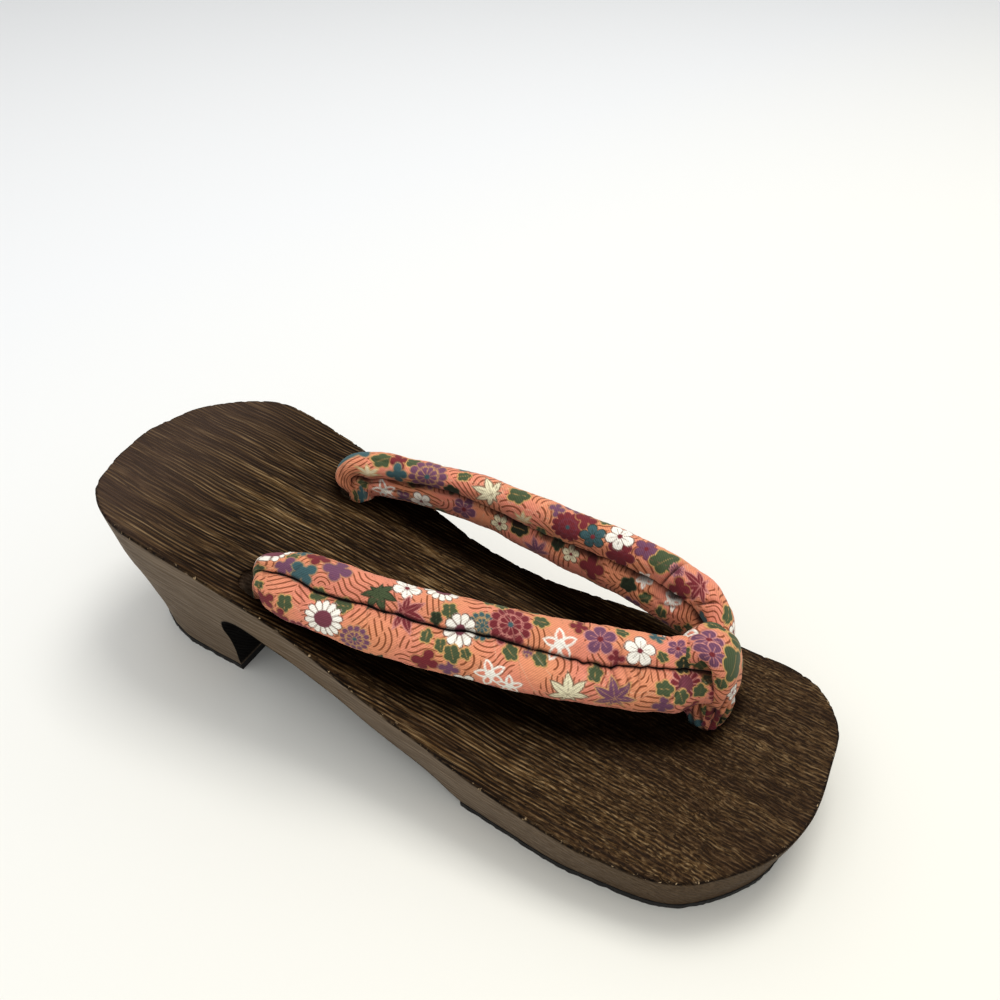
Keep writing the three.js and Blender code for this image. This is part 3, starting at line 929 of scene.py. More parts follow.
DRAWINGS = {
    "daisy": draw_daisy, "white": draw_white, "mum": draw_mum, "blossom": draw_plum,
    "plum": draw_plum, "cloud": draw_cloud, "star": draw_star, "maple": draw_maple,
    "leaf": draw_leaf,
}
EYES = {"daisy": "plum", "white": "plum", "mum": "teal", "blossom": "burgundy", "plum": "burgundy"}
LINE_INKS = {
    "daisy": "brown", "white": "brown", "mum": "tan", "blossom": "pink", "plum": "brown",
    "cloud": "tan", "star": "coral", "maple": "brown", "leaf": "tan",
}


def paint(spot, girth, motifs):
    """The print at each point: ground first, then each motif of the table laid over it.

    A motif's row is (kind, along, around, size, turn in degrees, ink), with a line ink at the end
    where it isn't the usual one of its kind. Alpha is 1 on motifs and 0 on the ground.
    """
    warm = smooth_step(-0.8, 0.9, waves(spot, 14, 45, 91))[..., None]
    colour = ink("coral") * (1 - warm) + ink("peach") * warm
    cover = np.zeros(spot.shape[:-1])
    for row in motifs:
        kind, size, fill = row[0], row[3], row[5]
        line = row[6] if len(row) > 6 else LINE_INKS[kind]
        inside, lines, eye = DRAWINGS[kind](*on_motif(spot, girth, row), size)
        tint = ink(fill) * (1 - lines[..., None]) + ink(line) * lines[..., None]
        tint = tint * (1 - eye[..., None]) + ink(EYES.get(kind, fill)) * eye[..., None]
        colour = colour * (1 - inside[..., None]) + tint * inside[..., None]
        cover = np.maximum(cover, inside)
    return np.concatenate([colour, cover[..., None]], axis=-1)


def line_phase(spot, girth, patches):
    """Which of a patch's parallel lines each point lies at, counted from its first, and a mask.

    A patch's row is (kind, along, around, radius, turn in degrees, spacing): strokes are straight
    lines, waves bend and arcs fan out from a point near the patch's edge. Each point belongs to
    the patch that it lies deepest in.
    """
    phase, best, second = (np.full(spot.shape[:-1], v) for v in (0.0, 1.0, 1.0))
    for row in patches:
        x, y, r, _ = on_motif(spot, girth, row)
        share = r / row[3]
        if row[0] == "arcs":
            count = np.hypot(x + 0.9 * row[3], y) / row[5]
        elif row[0] == "waves":
            count = (y + 0.5 * np.sin(x * 0.9)) / row[5]
        else:
            count = (y + 0.02 * x**2) / row[5]
        phase = np.where(share < best, count + 40, phase)
        second = np.where(share < best, best, np.minimum(second, share))
        best = np.minimum(best, share)
    return phase, smooth_step(0.03, 0.09, second - best) * (best < 0.85)


def scattered(length, girth, seed, keep_off):
    """Tables of motifs and line patches strewn at random where the given tables leave room."""
    rng = np.random.default_rng(seed)
    kinds = (
        ("mum", 5.4, "burgundy", "pink"), ("blossom", 4.4, "purple"), ("plum", 4.4, "white"),
        ("leaf", 2.4, "green"), ("maple", 5.6, "cream"), ("maple", 6.0, "purple", "pink"),
        ("daisy", 5.6, "white"), ("star", 4.6, "white"), ("cloud", 3.6, "teal"),
        ("leaf", 2.6, "green"), ("maple", 5.2, "green", "dark_green"), ("cloud", 3.2, "burgundy"),
        ("leaf", 2.2, "green"), ("cloud", 3.4, "purple"),
    )
    taken = [(row[1], row[2], row[3]) for row in keep_off]
    motifs, patches = [], []
    for _ in range(900):
        kind, size, *inks = kinds[rng.integers(len(kinds))]
        u, v = rng.uniform(0, length), rng.uniform(0, girth)
        size *= rng.uniform(0.9, 1.1)
        turn = rng.uniform(0, 360)
        gap = min((
            np.hypot(u - a, np.mod(v - b + girth / 2, girth) - girth / 2) - 0.85 * (size + c)
            for a, b, c in taken
        ), default=9.0)
        if gap > 0:
            motifs.append((kind, u, v, size, turn, *inks))
            taken.append((u, v, size))
    for _ in range(int(length * girth / 100)):
        kind = ("strokes", "waves", "arcs")[rng.integers(3)]
        patches.append((
            kind, rng.uniform(0, length), rng.uniform(0, girth), rng.uniform(4, 8),
            rng.uniform(0, 360), rng.uniform(1.3, 1.8),
        ))
    return motifs, patches


# Motifs, each (kind, along, around, size, turn in degrees, ink), some with a line ink of their own.
OUTER_PRINT = (
    ("daisy", 17, 1, 5.5, 70, "white"), ("leaf", 23.5, 4, 2.2, -35, "green"),
    ("cloud", 25.5, 1.5, 2.2, -15, "teal"), ("cloud", 30, 2.5, 3.4, 0, "burgundy"),
    ("cloud", 22.5, 8, 3.6, 15, "purple"), ("cloud", 28, 9, 4, 45, "teal"),
    ("cloud", 36.5, 4.5, 4.2, -5, "purple"), ("maple", 49.5, 7.5, 6.4, 60, "green", "dark_green"),
    ("plum", 56.5, 3.4, 4.3, 75, "white"), ("maple", 57.5, 11, 7, 10, "burgundy", "pink"),
    ("leaf", 34, 13.5, 2.6, -5, "green"), ("leaf", 41.5, 14, 2.8, -10, "green"),
    ("daisy", 38, 19.5, 5.8, 80, "white"), ("leaf", 26, 19, 3, 80, "green"),
    ("cloud", 24.5, 24, 3.2, 5, "burgundy"), ("leaf", 17, 16, 2, 85, "green"),
    ("mum", 47.5, 22, 4.4, 0, "purple"), ("cloud", 66.5, 22.5, 3.8, 5, "burgundy"),
    ("cloud", 73, 23, 3, 0, "purple"), ("leaf", 69.5, 7.5, 2.8, 75, "green"),
    ("leaf", 66.5, 10.5, 2, 75, "dark_green", "green"), ("mum", 79, 9.5, 4.3, 75, "teal"),
    ("mum", 86.5, 7.5, 6.2, 80, "burgundy", "pink"), ("white", 73.5, 12, 4.7, 80, "white"),
    ("leaf", 94.5, 4.5, 2.6, 5, "green"), ("leaf", 83, 1.5, 2.2, 5, "green"),
    ("star", 100.5, 10, 4.8, -100, "white"), ("cloud", 105, 3.5, 2.8, 0, "burgundy"),
    ("leaf", 69.5, 17, 2.3, 75, "green"), ("leaf", 73, 18.5, 3, 65, "green"),
    ("leaf", 76.5, 17.5, 2, 60, "green"), ("leaf", 88, 14.5, 2.6, 35, "green"),
    ("leaf", 96, 14.5, 2.5, 40, "green"), ("cloud", 92.5, 13.5, 1.5, 0, "purple"),
    ("star", 84, 21.5, 4.5, -115, "white"), ("star", 89.5, 24, 3.8, -100, "white"),
    ("maple", 105, 23, 7.3, -100, "cream"), ("maple", 117, 22, 7.6, -105, "purple", "tan"),
    ("blossom", 111, 6.5, 4.8, -95, "purple"), ("leaf", 117, 3, 2.2, 0, "green"),
    ("plum", 122, 8, 4.7, -90, "white"), ("cloud", 127, 1.5, 2.6, -25, "teal"),
    ("blossom", 132.5, 5, 3.4, 10, "purple"), ("cloud", 116, 11, 2.4, 80, "burgundy", "pink"),
    ("daisy", 135.5, 15, 4.8, 85, "burgundy", "pink"), ("leaf", 134.5, 10, 2.9, -100, "dark_green"),
    ("leaf", 129.5, 16.5, 2.8, -10, "green"), ("leaf", 134.5, 18.5, 2.8, 65, "green"),
    ("leaf", 140, 17, 2.8, -90, "green"), ("cloud", 139, 24, 3, 20, "burgundy"),
)
BIG_TOE_PRINT = (
    ("maple", 21, 47.5, 4.8, 95, "cream", "tan"), ("leaf", 24.5, 0, 3.2, 25, "green"),
    ("cloud", 30, 1, 3.4, 25, "burgundy"), ("leaf", 35, 2, 3, 0, "green"),
    ("cloud", 30, 50, 4, -80, "teal"), ("mum", 40.5, 51.5, 6.6, -80, "purple"),
    ("leaf", 49, 47.5, 3, -40, "dark_green", "green"), ("maple", 61.5, 51, 6.8, 175, "cream"),
    ("leaf", 69, 53.5, 3.6, 5, "green"), ("maple", 73, 45, 4.4, 100, "cream", "tan"),
    ("plum", 65.5, 40, 3.2, -90, "cream"), ("leaf", 72, 40.5, 3.2, 0, "dark_green"),
    ("cloud", 81.5, 53, 2.6, 5, "purple"), ("mum", 87, 49, 5.2, -65, "burgundy", "plum"),
    ("cloud", 91, 53.5, 3.6, 0, "burgundy"), ("blossom", 95.5, 49, 4.3, 115, "teal", "dark_green"),
    ("leaf", 85, 41, 2.4, -80, "dark_green", "green"), ("plum", 90, 39.5, 3.1, 100, "cream"),
    ("cloud", 97.5, 38, 4.2, 5, "burgundy"), ("blossom", 105, 46.5, 4.8, -75, "burgundy", "plum"),
    ("plum", 103, 52, 4.6, -80, "white"), ("blossom", 111.5, 51.5, 3.7, -60, "purple", "plum"),
    ("leaf", 117.5, 50.5, 4.6, 60, "green"), ("daisy", 122, 50, 2.4, -55, "purple", "pink"),
    ("maple", 129.5, 51, 7, -135, "burgundy", "pink"), ("cloud", 125, 45.5, 3.8, -60, "burgundy"),
    ("leaf", 110, 38, 2.8, 0, "dark_green", "green"),
    ("cloud", 136, 43.5, 2.6, 40, "teal", "dark_green"), ("plum", 143, 4, 2.6, 40, "white"),
    ("star", 114, 41.5, 2.8, -5, "white"), ("star", 124.5, 40.5, 3, -55, "white"),
)
LOOP_PRINT = (
    ("cloud", 3, 14.5, 4.6, 20, "burgundy", "plum"), ("cloud", 2, 20, 3.8, 60, "purple", "plum"),
    ("blossom", 32.5, 10, 3, -80, "purple"), ("blossom", 31, 13.5, 3.8, 130, "purple"),
    ("leaf", 26, 10.5, 4.2, 125, "green"), ("cloud", 7.5, 15.5, 3.4, -170, "burgundy"),
    ("plum", 18, 11.5, 2.6, 160, "white"), ("cloud", 4.5, 12, 2.2, -170, "dark_green"),
)

# Patches of printed lines, each (kind, along, around, radius, turn in degrees, spacing).
OUTER_LINES = (
    ("strokes", 23, 14, 7, -25, 1.5), ("strokes", 23.5, 19.5, 5, 110, 1.4),
    ("strokes", 30, 14.5, 4.5, 25, 1.5), ("strokes", 45.5, 18, 8, -55, 1.5),
    ("arcs", 55.5, 19, 5.5, -15, 1.6), ("waves", 64, 18.5, 9, -20, 1.6),
    ("arcs", 81.5, 13.5, 4.5, 85, 1.3), ("strokes", 64.5, 7, 4, 75, 1.6),
    ("arcs", 16.5, 6.5, 3.5, -15, 1.3), ("strokes", 106.5, 2.5, 4.5, -80, 1.6),
    ("waves", 112, 12, 4.5, 65, 1.6), ("arcs", 78.5, 20, 3.5, 15, 1.9),
    ("waves", 136, 22, 6, 55, 1.5), ("strokes", 127, 12, 4, 80, 2), ("arcs", 103, 15, 4, 0, 1.8),
)
BIG_TOE_LINES = (
    ("strokes", 18, 52, 5.5, 50, 1.2), ("arcs", 16, 48, 4.5, -80, 1.4),
    ("strokes", 53, 49, 6, -50, 1.3), ("waves", 61.5, 45.5, 5, -65, 1.8),
    ("arcs", 68.5, 50, 5, 95, 2.1), ("arcs", 79.5, 50, 4, 20, 1.8),
    ("strokes", 78, 42.5, 4, 80, 1.7), ("waves", 138.5, 51.5, 8.5, 50, 1.4),
    ("strokes", 112.5, 46, 4.5, -40, 2.6), ("waves", 104.5, 38, 5.5, -10, 1.5),
    ("strokes", 131.5, 48.5, 4, 40, 1.4), ("strokes", 39, 44, 9, -10, 1.5),
)
LOOP_LINES = (("arcs", 30, 11, 5, 115, 1.3), ("waves", 21, 15, 5, -95, 1.4))

# Creases: which face, 1 outer and -1 inner, and (millimetres along, cosine of the angle round).
OUTER_CREASES = (
    (1, (
        (12, 0.3), (21, 0.23), (25, 0.17), (28, 0.11), (33, 0.03), (40, 0.06), (46, 0.13),
        (61, 0.09), (68, 0.06), (76, 0.14), (82, 0.15), (90, 0.1), (104, 0.03), (115, 0.0),
        (119, 0.08), (128, 0.13), (139, 0.22), (148, 0.2),
    )),
    (-1, ((0, -0.3), (148, -0.2))),
)
BIG_TOE_CREASES = (
    (1, ((0, 0.1), (60, 0.2), (151, 0.1))),
    (-1, (
        (12, 0.4), (21, 0.3), (32, 0.46), (40, 0.56), (48, 0.5), (58, 0.36), (70, 0.2), (80, 0.1),
        (96, 0.18), (110, 0.15), (126, 0.17), (140, 0.2), (151, 0.2),
    )),
)

# Tucks: (along, around, length, turn in degrees, depth).
OUTER_TUCKS = (
    (113, 15, 6, 60, 0.4), (116.5, 16, 8, 65, 0.5), (119.5, 15.5, 7, 70, 0.4),
    (122.5, 15, 6, 78, 0.35), (109, 14.5, 4, 110, 0.3), (117, 9.5, 6, 100, 0.4),
    (98, 15, 5, 100, 0.25), (60, 15.5, 6, 95, 0.25), (45, 15.5, 5, 80, 0.25),
    (75, 15, 5, 95, 0.25), (88, 10, 5, 80, 0.25), (30, 16, 6, 60, 0.3), (26, 8.5, 5, 120, 0.3),
    (16, 9, 8, 70, 0.4), (17, 18, 8, 110, 0.4), (133, 17, 8, 115, 0.4), (137, 8, 8, 70, 0.4),
)
BIG_TOE_TUCKS = (
    (120.8, 48.2, 14, 77, 1.1), (133.5, 48.5, 11, 62, 0.9), (127, 43.5, 9, 40, 0.6),
    (124, 38.5, 8, 20, 0.5), (117, 38, 9, 8, 0.4), (110, 41, 7, 70, 0.3), (16, 50, 8, 80, 0.4),
    (22, 42, 8, 20, 0.5), (30, 41, 10, 8, 0.4), (90, 43.5, 5, 100, 0.3), (75, 43, 5, 80, 0.3),
)
LOOP_TUCKS = (
    (24, 17, 9, 20, 0.4), (33, 6, 8, 60, 0.3), (6, 8.5, 13, 4, 1.0), (6, 12, 14, -4, 1.1),
    (5, 15.5, 13, 3, 1.1), (5, 19, 12, 8, 1.0), (14, 14, 9, -8, 0.6), (6, 5, 12, 0, 0.9),
)


# Materials

class Wiring:
    """Short calls that add nodes to one material or node group and wire them up."""

    def __init__(self, tree):
        self.nodes, self.links = tree.nodes, tree.links

    def fill(self, socket, source):
        """Gives a socket a number, a colour or another node's output."""
        if isinstance(source, (int, float)):
            socket.default_value = source
        elif isinstance(source, tuple):
            socket.default_value = (*source[:3], 1.0)
        else:
            self.links.new(source, socket)

    def put(self, kind, sources=(), **settings):
        """A node with its settings and what its sockets are given."""
        node = self.nodes.new(kind)
        for key, value in settings.items():
            setattr(node, key, value)
        for key, source in dict(sources).items():
            self.fill(node.inputs[key], source)
        return node

    def math(self, operation, a, b=None, clamp=False):
        """A Math node's result."""
        sources = {0: a} if b is None else {0: a, 1: b}
        return self.put("ShaderNodeMath", sources, operation=operation, use_clamp=clamp).outputs[0]

    def times(self, a, b):
        """The product of two sources."""
        return self.math("MULTIPLY", a, b)

    def plus(self, a, b):
        """The sum of two sources."""
        return self.math("ADD", a, b)

    def rest_of(self, a):
        """One less a source."""
        return self.math("SUBTRACT", 1.0, a)

    def blend(self, share, a, b, mode="MIX"):
        """Two colours mixed by a share."""
        sources = {0: share, 6: a, 7: b}
        return self.put("ShaderNodeMix", sources, data_type="RGBA", blend_type=mode).outputs[2]

    def span(self, source, low, high, start=0.0, end=1.0):
        """A source taken from one range to another and held inside it."""
        sources = {0: source, 1: low, 2: high, 3: start, 4: end}
        return self.put("ShaderNodeMapRange", sources).outputs[0]

    def noise(self, vector, scale, detail, rough=0.5):
        """A noise texture's value."""
        sources = {"Vector": vector, "Scale": scale, "Detail": detail, "Roughness": rough}
        return self.put("ShaderNodeTexNoise", sources).outputs["Fac"]

    def kept(self, label):
        """The number that the mesh keeps under a label."""
        return self.put("ShaderNodeAttribute", attribute_name=label).outputs["Fac"]

    def own_place(self):
        """The piece's own coordinates."""
        return self.put("ShaderNodeTexCoord").outputs["Object"]

    def ramp(self, source, *stops):
        """A colour ramp of (place, colour) stops."""
        node = self.put("ShaderNodeValToRGB", {0: source})
        elements = node.color_ramp.elements
        while len(elements) < len(stops):
            elements.new(0.5)
        for element, (at, colour) in zip(elements, stops):
            element.position = at
            element.color = (*colour[:3], 1.0)
        return node.outputs[0]

    def bump(self, height, strength, distance):
        """A normal raised by a height."""
        sources = {"Height": height, "Strength": strength, "Distance": distance}
        return self.put("ShaderNodeBump", sources).outputs[0]


def new_material(name, roughness):
    """A material of one roughness, its wiring and its shader's sockets."""
    material = bpy.data.materials.new(name)
    material.use_nodes = True
    shader = material.node_tree.nodes["Principled BSDF"]
    shader.inputs["Roughness"].default_value = roughness
    return material, Wiring(material.node_tree), shader.inputs


def new_group(name, inputs, outputs):
    """A shader node group, its wiring, what it is given and the sockets of its results."""
    tree = bpy.data.node_groups.new(name, "ShaderNodeTree")
    for label, kind in inputs.items():
        tree.interface.new_socket(name=label, in_out="INPUT", socket_type="NodeSocket" + kind)
    for label in outputs:
        tree.interface.new_socket(name=label, in_out="OUTPUT", socket_type="NodeSocketFloat")
    first, last = tree.nodes.new("NodeGroupInput"), tree.nodes.new("NodeGroupOutput")
    return tree, Wiring(tree), first.outputs, last.inputs


def grain_group():
    """Brushed wood: thin dark lines at an even spacing along leaning layers, over fine hair.

    Curl bends the layers and breaks the lines into flecks, as ribbon grain does.
    """
    labels = ("Lines", "Hair", "Bands", "Height")
    tree, wire, given, out = new_group("wood_grain", {"Vector": "Vector", "Curl": "Float"}, labels)
    vector, curl = given["Vector"], given["Curl"]
    across, back, rise = wire.put("ShaderNodeSeparateXYZ", {0: vector}).outputs
    layer = wire.plus(across, wire.plus(wire.times(rise, LAYER_LEAN), wire.times(back, LAYER_SLANT)))
    bend = wire.times(wire.plus(wire.noise(vector, 22.0, 2.0), -0.5), LAYER_BEND)
    flutter = wire.times(wire.times(wire.plus(wire.noise(vector, 260.0, 1.0), -0.5), LAYER_FLUTTER), curl)
    layer = wire.plus(layer, wire.plus(bend, flutter))
    third = wire.plus(rise, wire.times(across, -0.75))

    def along_grain(across_scale, along_scale, third_scale, detail, rough=0.5):
        """Noise drawn out along the grain."""
        spot = wire.put("ShaderNodeCombineXYZ", {
            0: wire.times(layer, across_scale), 1: wire.times(back, along_scale),
            2: wire.times(third, third_scale),
        })
        return wire.noise(spot.outputs[0], 1.0, detail, rough)

    drift = along_grain(260.0, 14.0, 60.0, 1.0)
    ring = wire.math("PINGPONG", wire.plus(wire.times(layer, RING_COUNT), wire.times(drift, 1.3)), 0.5)
    ring = wire.span(ring, 0.14, 0.35, 1.0, 0.0)
    patchy = wire.span(along_grain(330.0, 24.0, 90.0, 2.0), 0.26, 0.5)
    broken = wire.span(along_grain(900.0, 420.0, 300.0, 2.0, 0.6), 0.36, 0.56)
    strength = wire.put("ShaderNodeMix", {0: curl, 2: patchy, 3: broken}).outputs[0]
    dashes = along_grain(560.0, wire.plus(wire.times(curl, 60.0), 16.0), 120.0, 2.0)
    dashes = wire.span(wire.math("ABSOLUTE", wire.plus(dashes, -0.52)), 0.0, 0.03, 1.0, 0.0)
    lines = wire.math("MAXIMUM", wire.times(ring, strength), wire.times(dashes, 0.9))
    hair = along_grain(1900.0, wire.plus(wire.times(curl, 230.0), 50.0), 420.0, 3.0, 0.62)
    bands = along_grain(240.0, 9.0, 60.0, 2.0)
    height = wire.plus(wire.times(lines, -0.7), wire.times(hair, 0.6))
    for label, source in zip(labels, (lines, hair, bands, height)):
        wire.fill(out[label], source)
    return tree


def wood_material():
    """Dark stained, brushed wood: streaked on top, greyer and smoother on the walls, chipped along
    the edge, with painted shade near black under the arch and a painted shadow under the bands."""
    material, wire, shader = new_material("stained_wood", 0.6)
    where = wire.own_place()
    wall, edge, under, painted_band_shadow = map(wire.kept, ("wall", "edge", "under", "painted_band_shadow"))
    back = wire.put("ShaderNodeSeparateXYZ", {0: where}).outputs[1]
    toe, heel = wire.span(back, *FLECKS_SPAN), wire.span(back, *HEEL_SPAN)
    given = {"Vector": where, "Curl": toe}
    fibre = wire.put("ShaderNodeGroup", given, node_tree=grain_group()).outputs
    hair, lines = fibre["Hair"], fibre["Lines"]
    top = wire.ramp(
        hair, (0.32, srgb(62, 45, 27)), (0.5, srgb(101, 80, 52)), (0.66, srgb(152, 132, 104)),
    )
    bands = wire.ramp(fibre["Bands"], (0.38, srgb(160, 142, 124)), (0.6, srgb(255, 246, 226)))
    top = wire.blend(0.85, top, bands, "MULTIPLY")
    for share, most, stain in (
        (lines, 0.94, srgb(14, 4, 1)), (heel, 0.6, srgb(84, 68, 58)),
        # The last entry is painted shadow: near black on the top under and beside the bands.
        (toe, 0.34, srgb(66, 50, 36)), (painted_band_shadow, 0.86, srgb(10, 4, 2)),
    ):
        top = wire.blend(wire.times(share, most), top, stain)
    side = wire.ramp(hair, (0.3, srgb(98, 83, 67)), (0.7, srgb(134, 119, 102)))
    side = wire.blend(wire.times(lines, 0.3), side, srgb(62, 50, 38))
    side = wire.blend(toe, side, srgb(190, 178, 160), "MULTIPLY")
    colour = wire.blend(wall, top, side)
    # Painted shade: the underside above the rubber, under the arch, turns near black.
    painted_arch_shade = wire.ramp(hair, (0.4, srgb(5, 3, 2)), (0.68, srgb(18, 9, 6)))
    colour = wire.blend(under, colour, painted_arch_shade)
    worn = wire.span(wire.noise(where, 700.0, 3.0), 0.35, 0.6, 1.0, 0.55)
    colour = wire.blend(wire.times(edge, worn), colour, srgb(14, 7, 5))
    chips = wire.span(wire.noise(where, 600.0, 4.0, 0.7), 0.62, 0.65)
    colour = wire.blend(wire.times(edge, chips), colour, srgb(188, 164, 130))
    wire.fill(shader["Base Color"], colour)
    # Painted shadow also takes the sheen off the wood under the bands.
    wire.fill(shader["Specular IOR Level"], wire.times(wire.rest_of(painted_band_shadow), 0.1))
    relief = wire.times(fibre["Height"], wire.rest_of(wire.times(wall, 0.6)))
    wire.fill(shader["Normal"], wire.bump(relief, 0.8, 0.0005))
    return material


def plain_material(name, colour, roughness, speckle):
    """A plain finish whose tone wanders a little."""
    material, wire, shader = new_material(name, roughness)
    noise = wire.noise(wire.own_place(), 350.0, 4.0)
    light = tuple(min(1.0, c * (1 + speckle)) for c in colour)
    dark = tuple(c * (1 - speckle) for c in colour)
    wire.fill(shader["Base Color"], wire.ramp(noise, (0.3, dark), (0.7, light)))
    wire.fill(shader["Normal"], wire.bump(noise, 0.3, 0.0003))
    return material


def linework_group():
    """Thin printed lines: one wherever a point's place among parallel lines is near a whole."""
    inputs = dict.fromkeys(("Phase", "Mask", "Wander"), "Float")
    tree, wire, given, out = new_group("printed_lines", inputs, ("Lines",))
    at = wire.plus(given["Phase"], wire.times(given["Wander"], 0.25))
    line = wire.span(wire.math("PINGPONG", at, 0.5), 0.11, 0.19, 1.0, 0.0)
    wire.fill(out["Lines"], wire.times(line, given["Mask"]))
    return tree


def cotton_material(name, lines):
    """Printed cotton twill: the print kept on the points, thin lines on its ground, a fine weave,
    painted shade in its tucks and creases and a painted shadow line along its creases."""
    material, wire, shader = new_material(name, 0.86)
    uv = wire.put("ShaderNodeUVMap", uv_map="cloth").outputs[0]
    printed = wire.put("ShaderNodeAttribute", attribute_name="print").outputs
    drawn = wire.put("ShaderNodeGroup", {
        "Phase": wire.kept("line_phase"), "Mask": wire.kept("line_mask"), "Wander": wire.noise(uv, 14.0, 1.0),
    }, node_tree=lines).outputs[0]
    bare = wire.math("SUBTRACT", 1.0, printed["Alpha"], clamp=True)
    colour = wire.blend(wire.times(wire.times(drawn, bare), 0.82), printed["Color"], srgb(120, 66, 34))
    twill = wire.put("ShaderNodeTexWave", {
        "Vector": uv, "Scale": 75.0, "Distortion": 0.6, "Detail": 1.0, "Detail Scale": 30.0,
    }, bands_direction="DIAGONAL").outputs["Fac"]
    weave = wire.plus(wire.times(twill, 0.5), wire.times(wire.noise(wire.own_place(), 1800.0, 2.0), 0.5))
    tone = wire.ramp(weave, (0.25, (0.74, 0.72, 0.7)), (0.75, (1.0, 1.0, 1.0)))
    colour = wire.blend(0.8, colour, tone, "MULTIPLY")
    # Painted shade in the creases and tucks, then a painted shadow line along each crease.
    colour = wire.blend(wire.times(wire.kept("crease"), 0.93), colour, srgb(38, 9, 8))
    line = wire.span(wire.math("ABSOLUTE", wire.kept("crease_shadow_line")), 0.7, 1.15, 0.94, 0.0)
    colour = wire.blend(line, colour, srgb(22, 5, 5))
    wire.fill(shader["Base Color"], colour)
    wire.fill(shader["Specular IOR Level"], 0.2)
    wire.fill(shader["Sheen Weight"], 0.12)
    wire.fill(shader["Normal"], wire.bump(weave, 0.35, 0.0002))
    return material


# Settings a user may change

class GetaSole(bpy.types.PropertyGroup):
    """Sizes of the sole's finish."""

    nick_depth: bpy.props.FloatProperty(
        name="Nick depth", description="How deep the top's edge is nicked", default=0.0007,
        min=0.0, max=0.003, unit="LENGTH",
    )


class GetaStrap(bpy.types.PropertyGroup):
    """Sizes of the padded strap."""

    fold: bpy.props.FloatProperty(
        name="Fold", description="How deep the crease presses the outer face in", default=0.3,
        min=0.0, max=0.5, subtype="FACTOR",
    )
    fill: bpy.props.FloatProperty(
        name="Fill", description="How full the padding is", default=0.8, min=0.0, max=1.0,
        subtype="FACTOR",
    )


class GetaStage(bpy.types.PropertyGroup):
    """The floor and the light."""

    floor_colour: bpy.props.FloatVectorProperty(
        name="Floor", description="Colour of the floor", default=(0.82, 0.815, 0.795), size=3,
        min=0.0, max=1.0, subtype="COLOR",
    )
    key_power: bpy.props.FloatProperty(
        name="Key light", description="Power of the soft key light in watts", default=6.8, min=0.0,
    )
    top_power: bpy.props.FloatProperty(
        name="Top light", description="Power of the wide light overhead in watts", default=9.0,
        min=0.0,
    )
    sky: bpy.props.FloatProperty(
        name="Fill light", description="Strength of the even light from all round", default=0.53,
        min=0.0,
    )


# One operator for each piece

class GETA_OT_sole(bpy.types.Operator):
    """Carve the wooden sole and its three holes"""

    bl_idname = "geta.sole"
    bl_label = "Sole"

    def execute(self, context):
        wood = wood_material()
        # Near black walls inside the holes.
        near_black_wood = plain_material("hole_wood", srgb(16, 8, 5), 0.9, 0.5)
        rings = sole_rings(context.scene.geta_sole.nick_depth / MM)
        spots = place(rings[..., 0], rings[..., 1], rings[..., 2])
        sole = mesh_piece("sole_wood", spots, grid_faces(*rings.shape[:2]), wood)
        weld(sole.data)
        cut(sole, [
            hole_cutter("outer_plug", SIDE_HOLE_STATION, OUTER_HOLE_OFFSET, SIDE_HOLE_RADIUS, 21, near_black_wood),
            hole_cutter("big_toe_plug", SIDE_HOLE_STATION, BIG_TOE_HOLE_OFFSET, SIDE_HOLE_RADIUS, 22, near_black_wood),
            hole_cutter("front_plug", TOE_HOLE_STATION, TOE_HOLE_OFFSET, TOE_HOLE_RADIUS, 23, near_black_wood),
        ])
        mesh = sole.data
        shade(mesh, 35.0)
        points = vertex_places(mesh) / MM
        station, offset, height = CENTRE_STATION - points[:, 1], points[:, 0] - CENTRE_OFFSET, points[:, 2]
        edge, _ = edge_and_outward(np.linspace(0, 1, 900, endpoint=False))
        rim = np.stack([-edge[:, 1], edge[:, 0], top_height(-edge[:, 1])], axis=-1)
        away = np.full(len(points), 99.0)
        spots = np.stack([station, offset, height], axis=-1)
        for part in np.array_split(np.arange(len(points)), 40):
            away[part] = np.linalg.norm(spots[part, None] - rim[None], axis=-1).min(axis=1)
        below = top_height(station) - height
        store_value(mesh, "edge", smooth_step(*EDGE_FADE, away))
        store_value(mesh, "wall", smooth_step(*WALL_FADE, below))
        line = underside()
        # Painted shade: how near each point lies to the arch's underside above the rubber.
        from_ceiling = np.abs(height - np.interp(station, line[:, 0], line[:, 1]))
        under = smooth_step(*ARCH_SHADE_FADE, from_ceiling) * (height > RUBBER + 0.2)
        store_value(mesh, "under", under)
        # Painted shadow of the bands, kept on the wood.
        store_value(mesh, "painted_band_shadow", painted_band_shadow_share(station, offset))
        declare(sole, "wood", "sole")
        return {"FINISHED"}


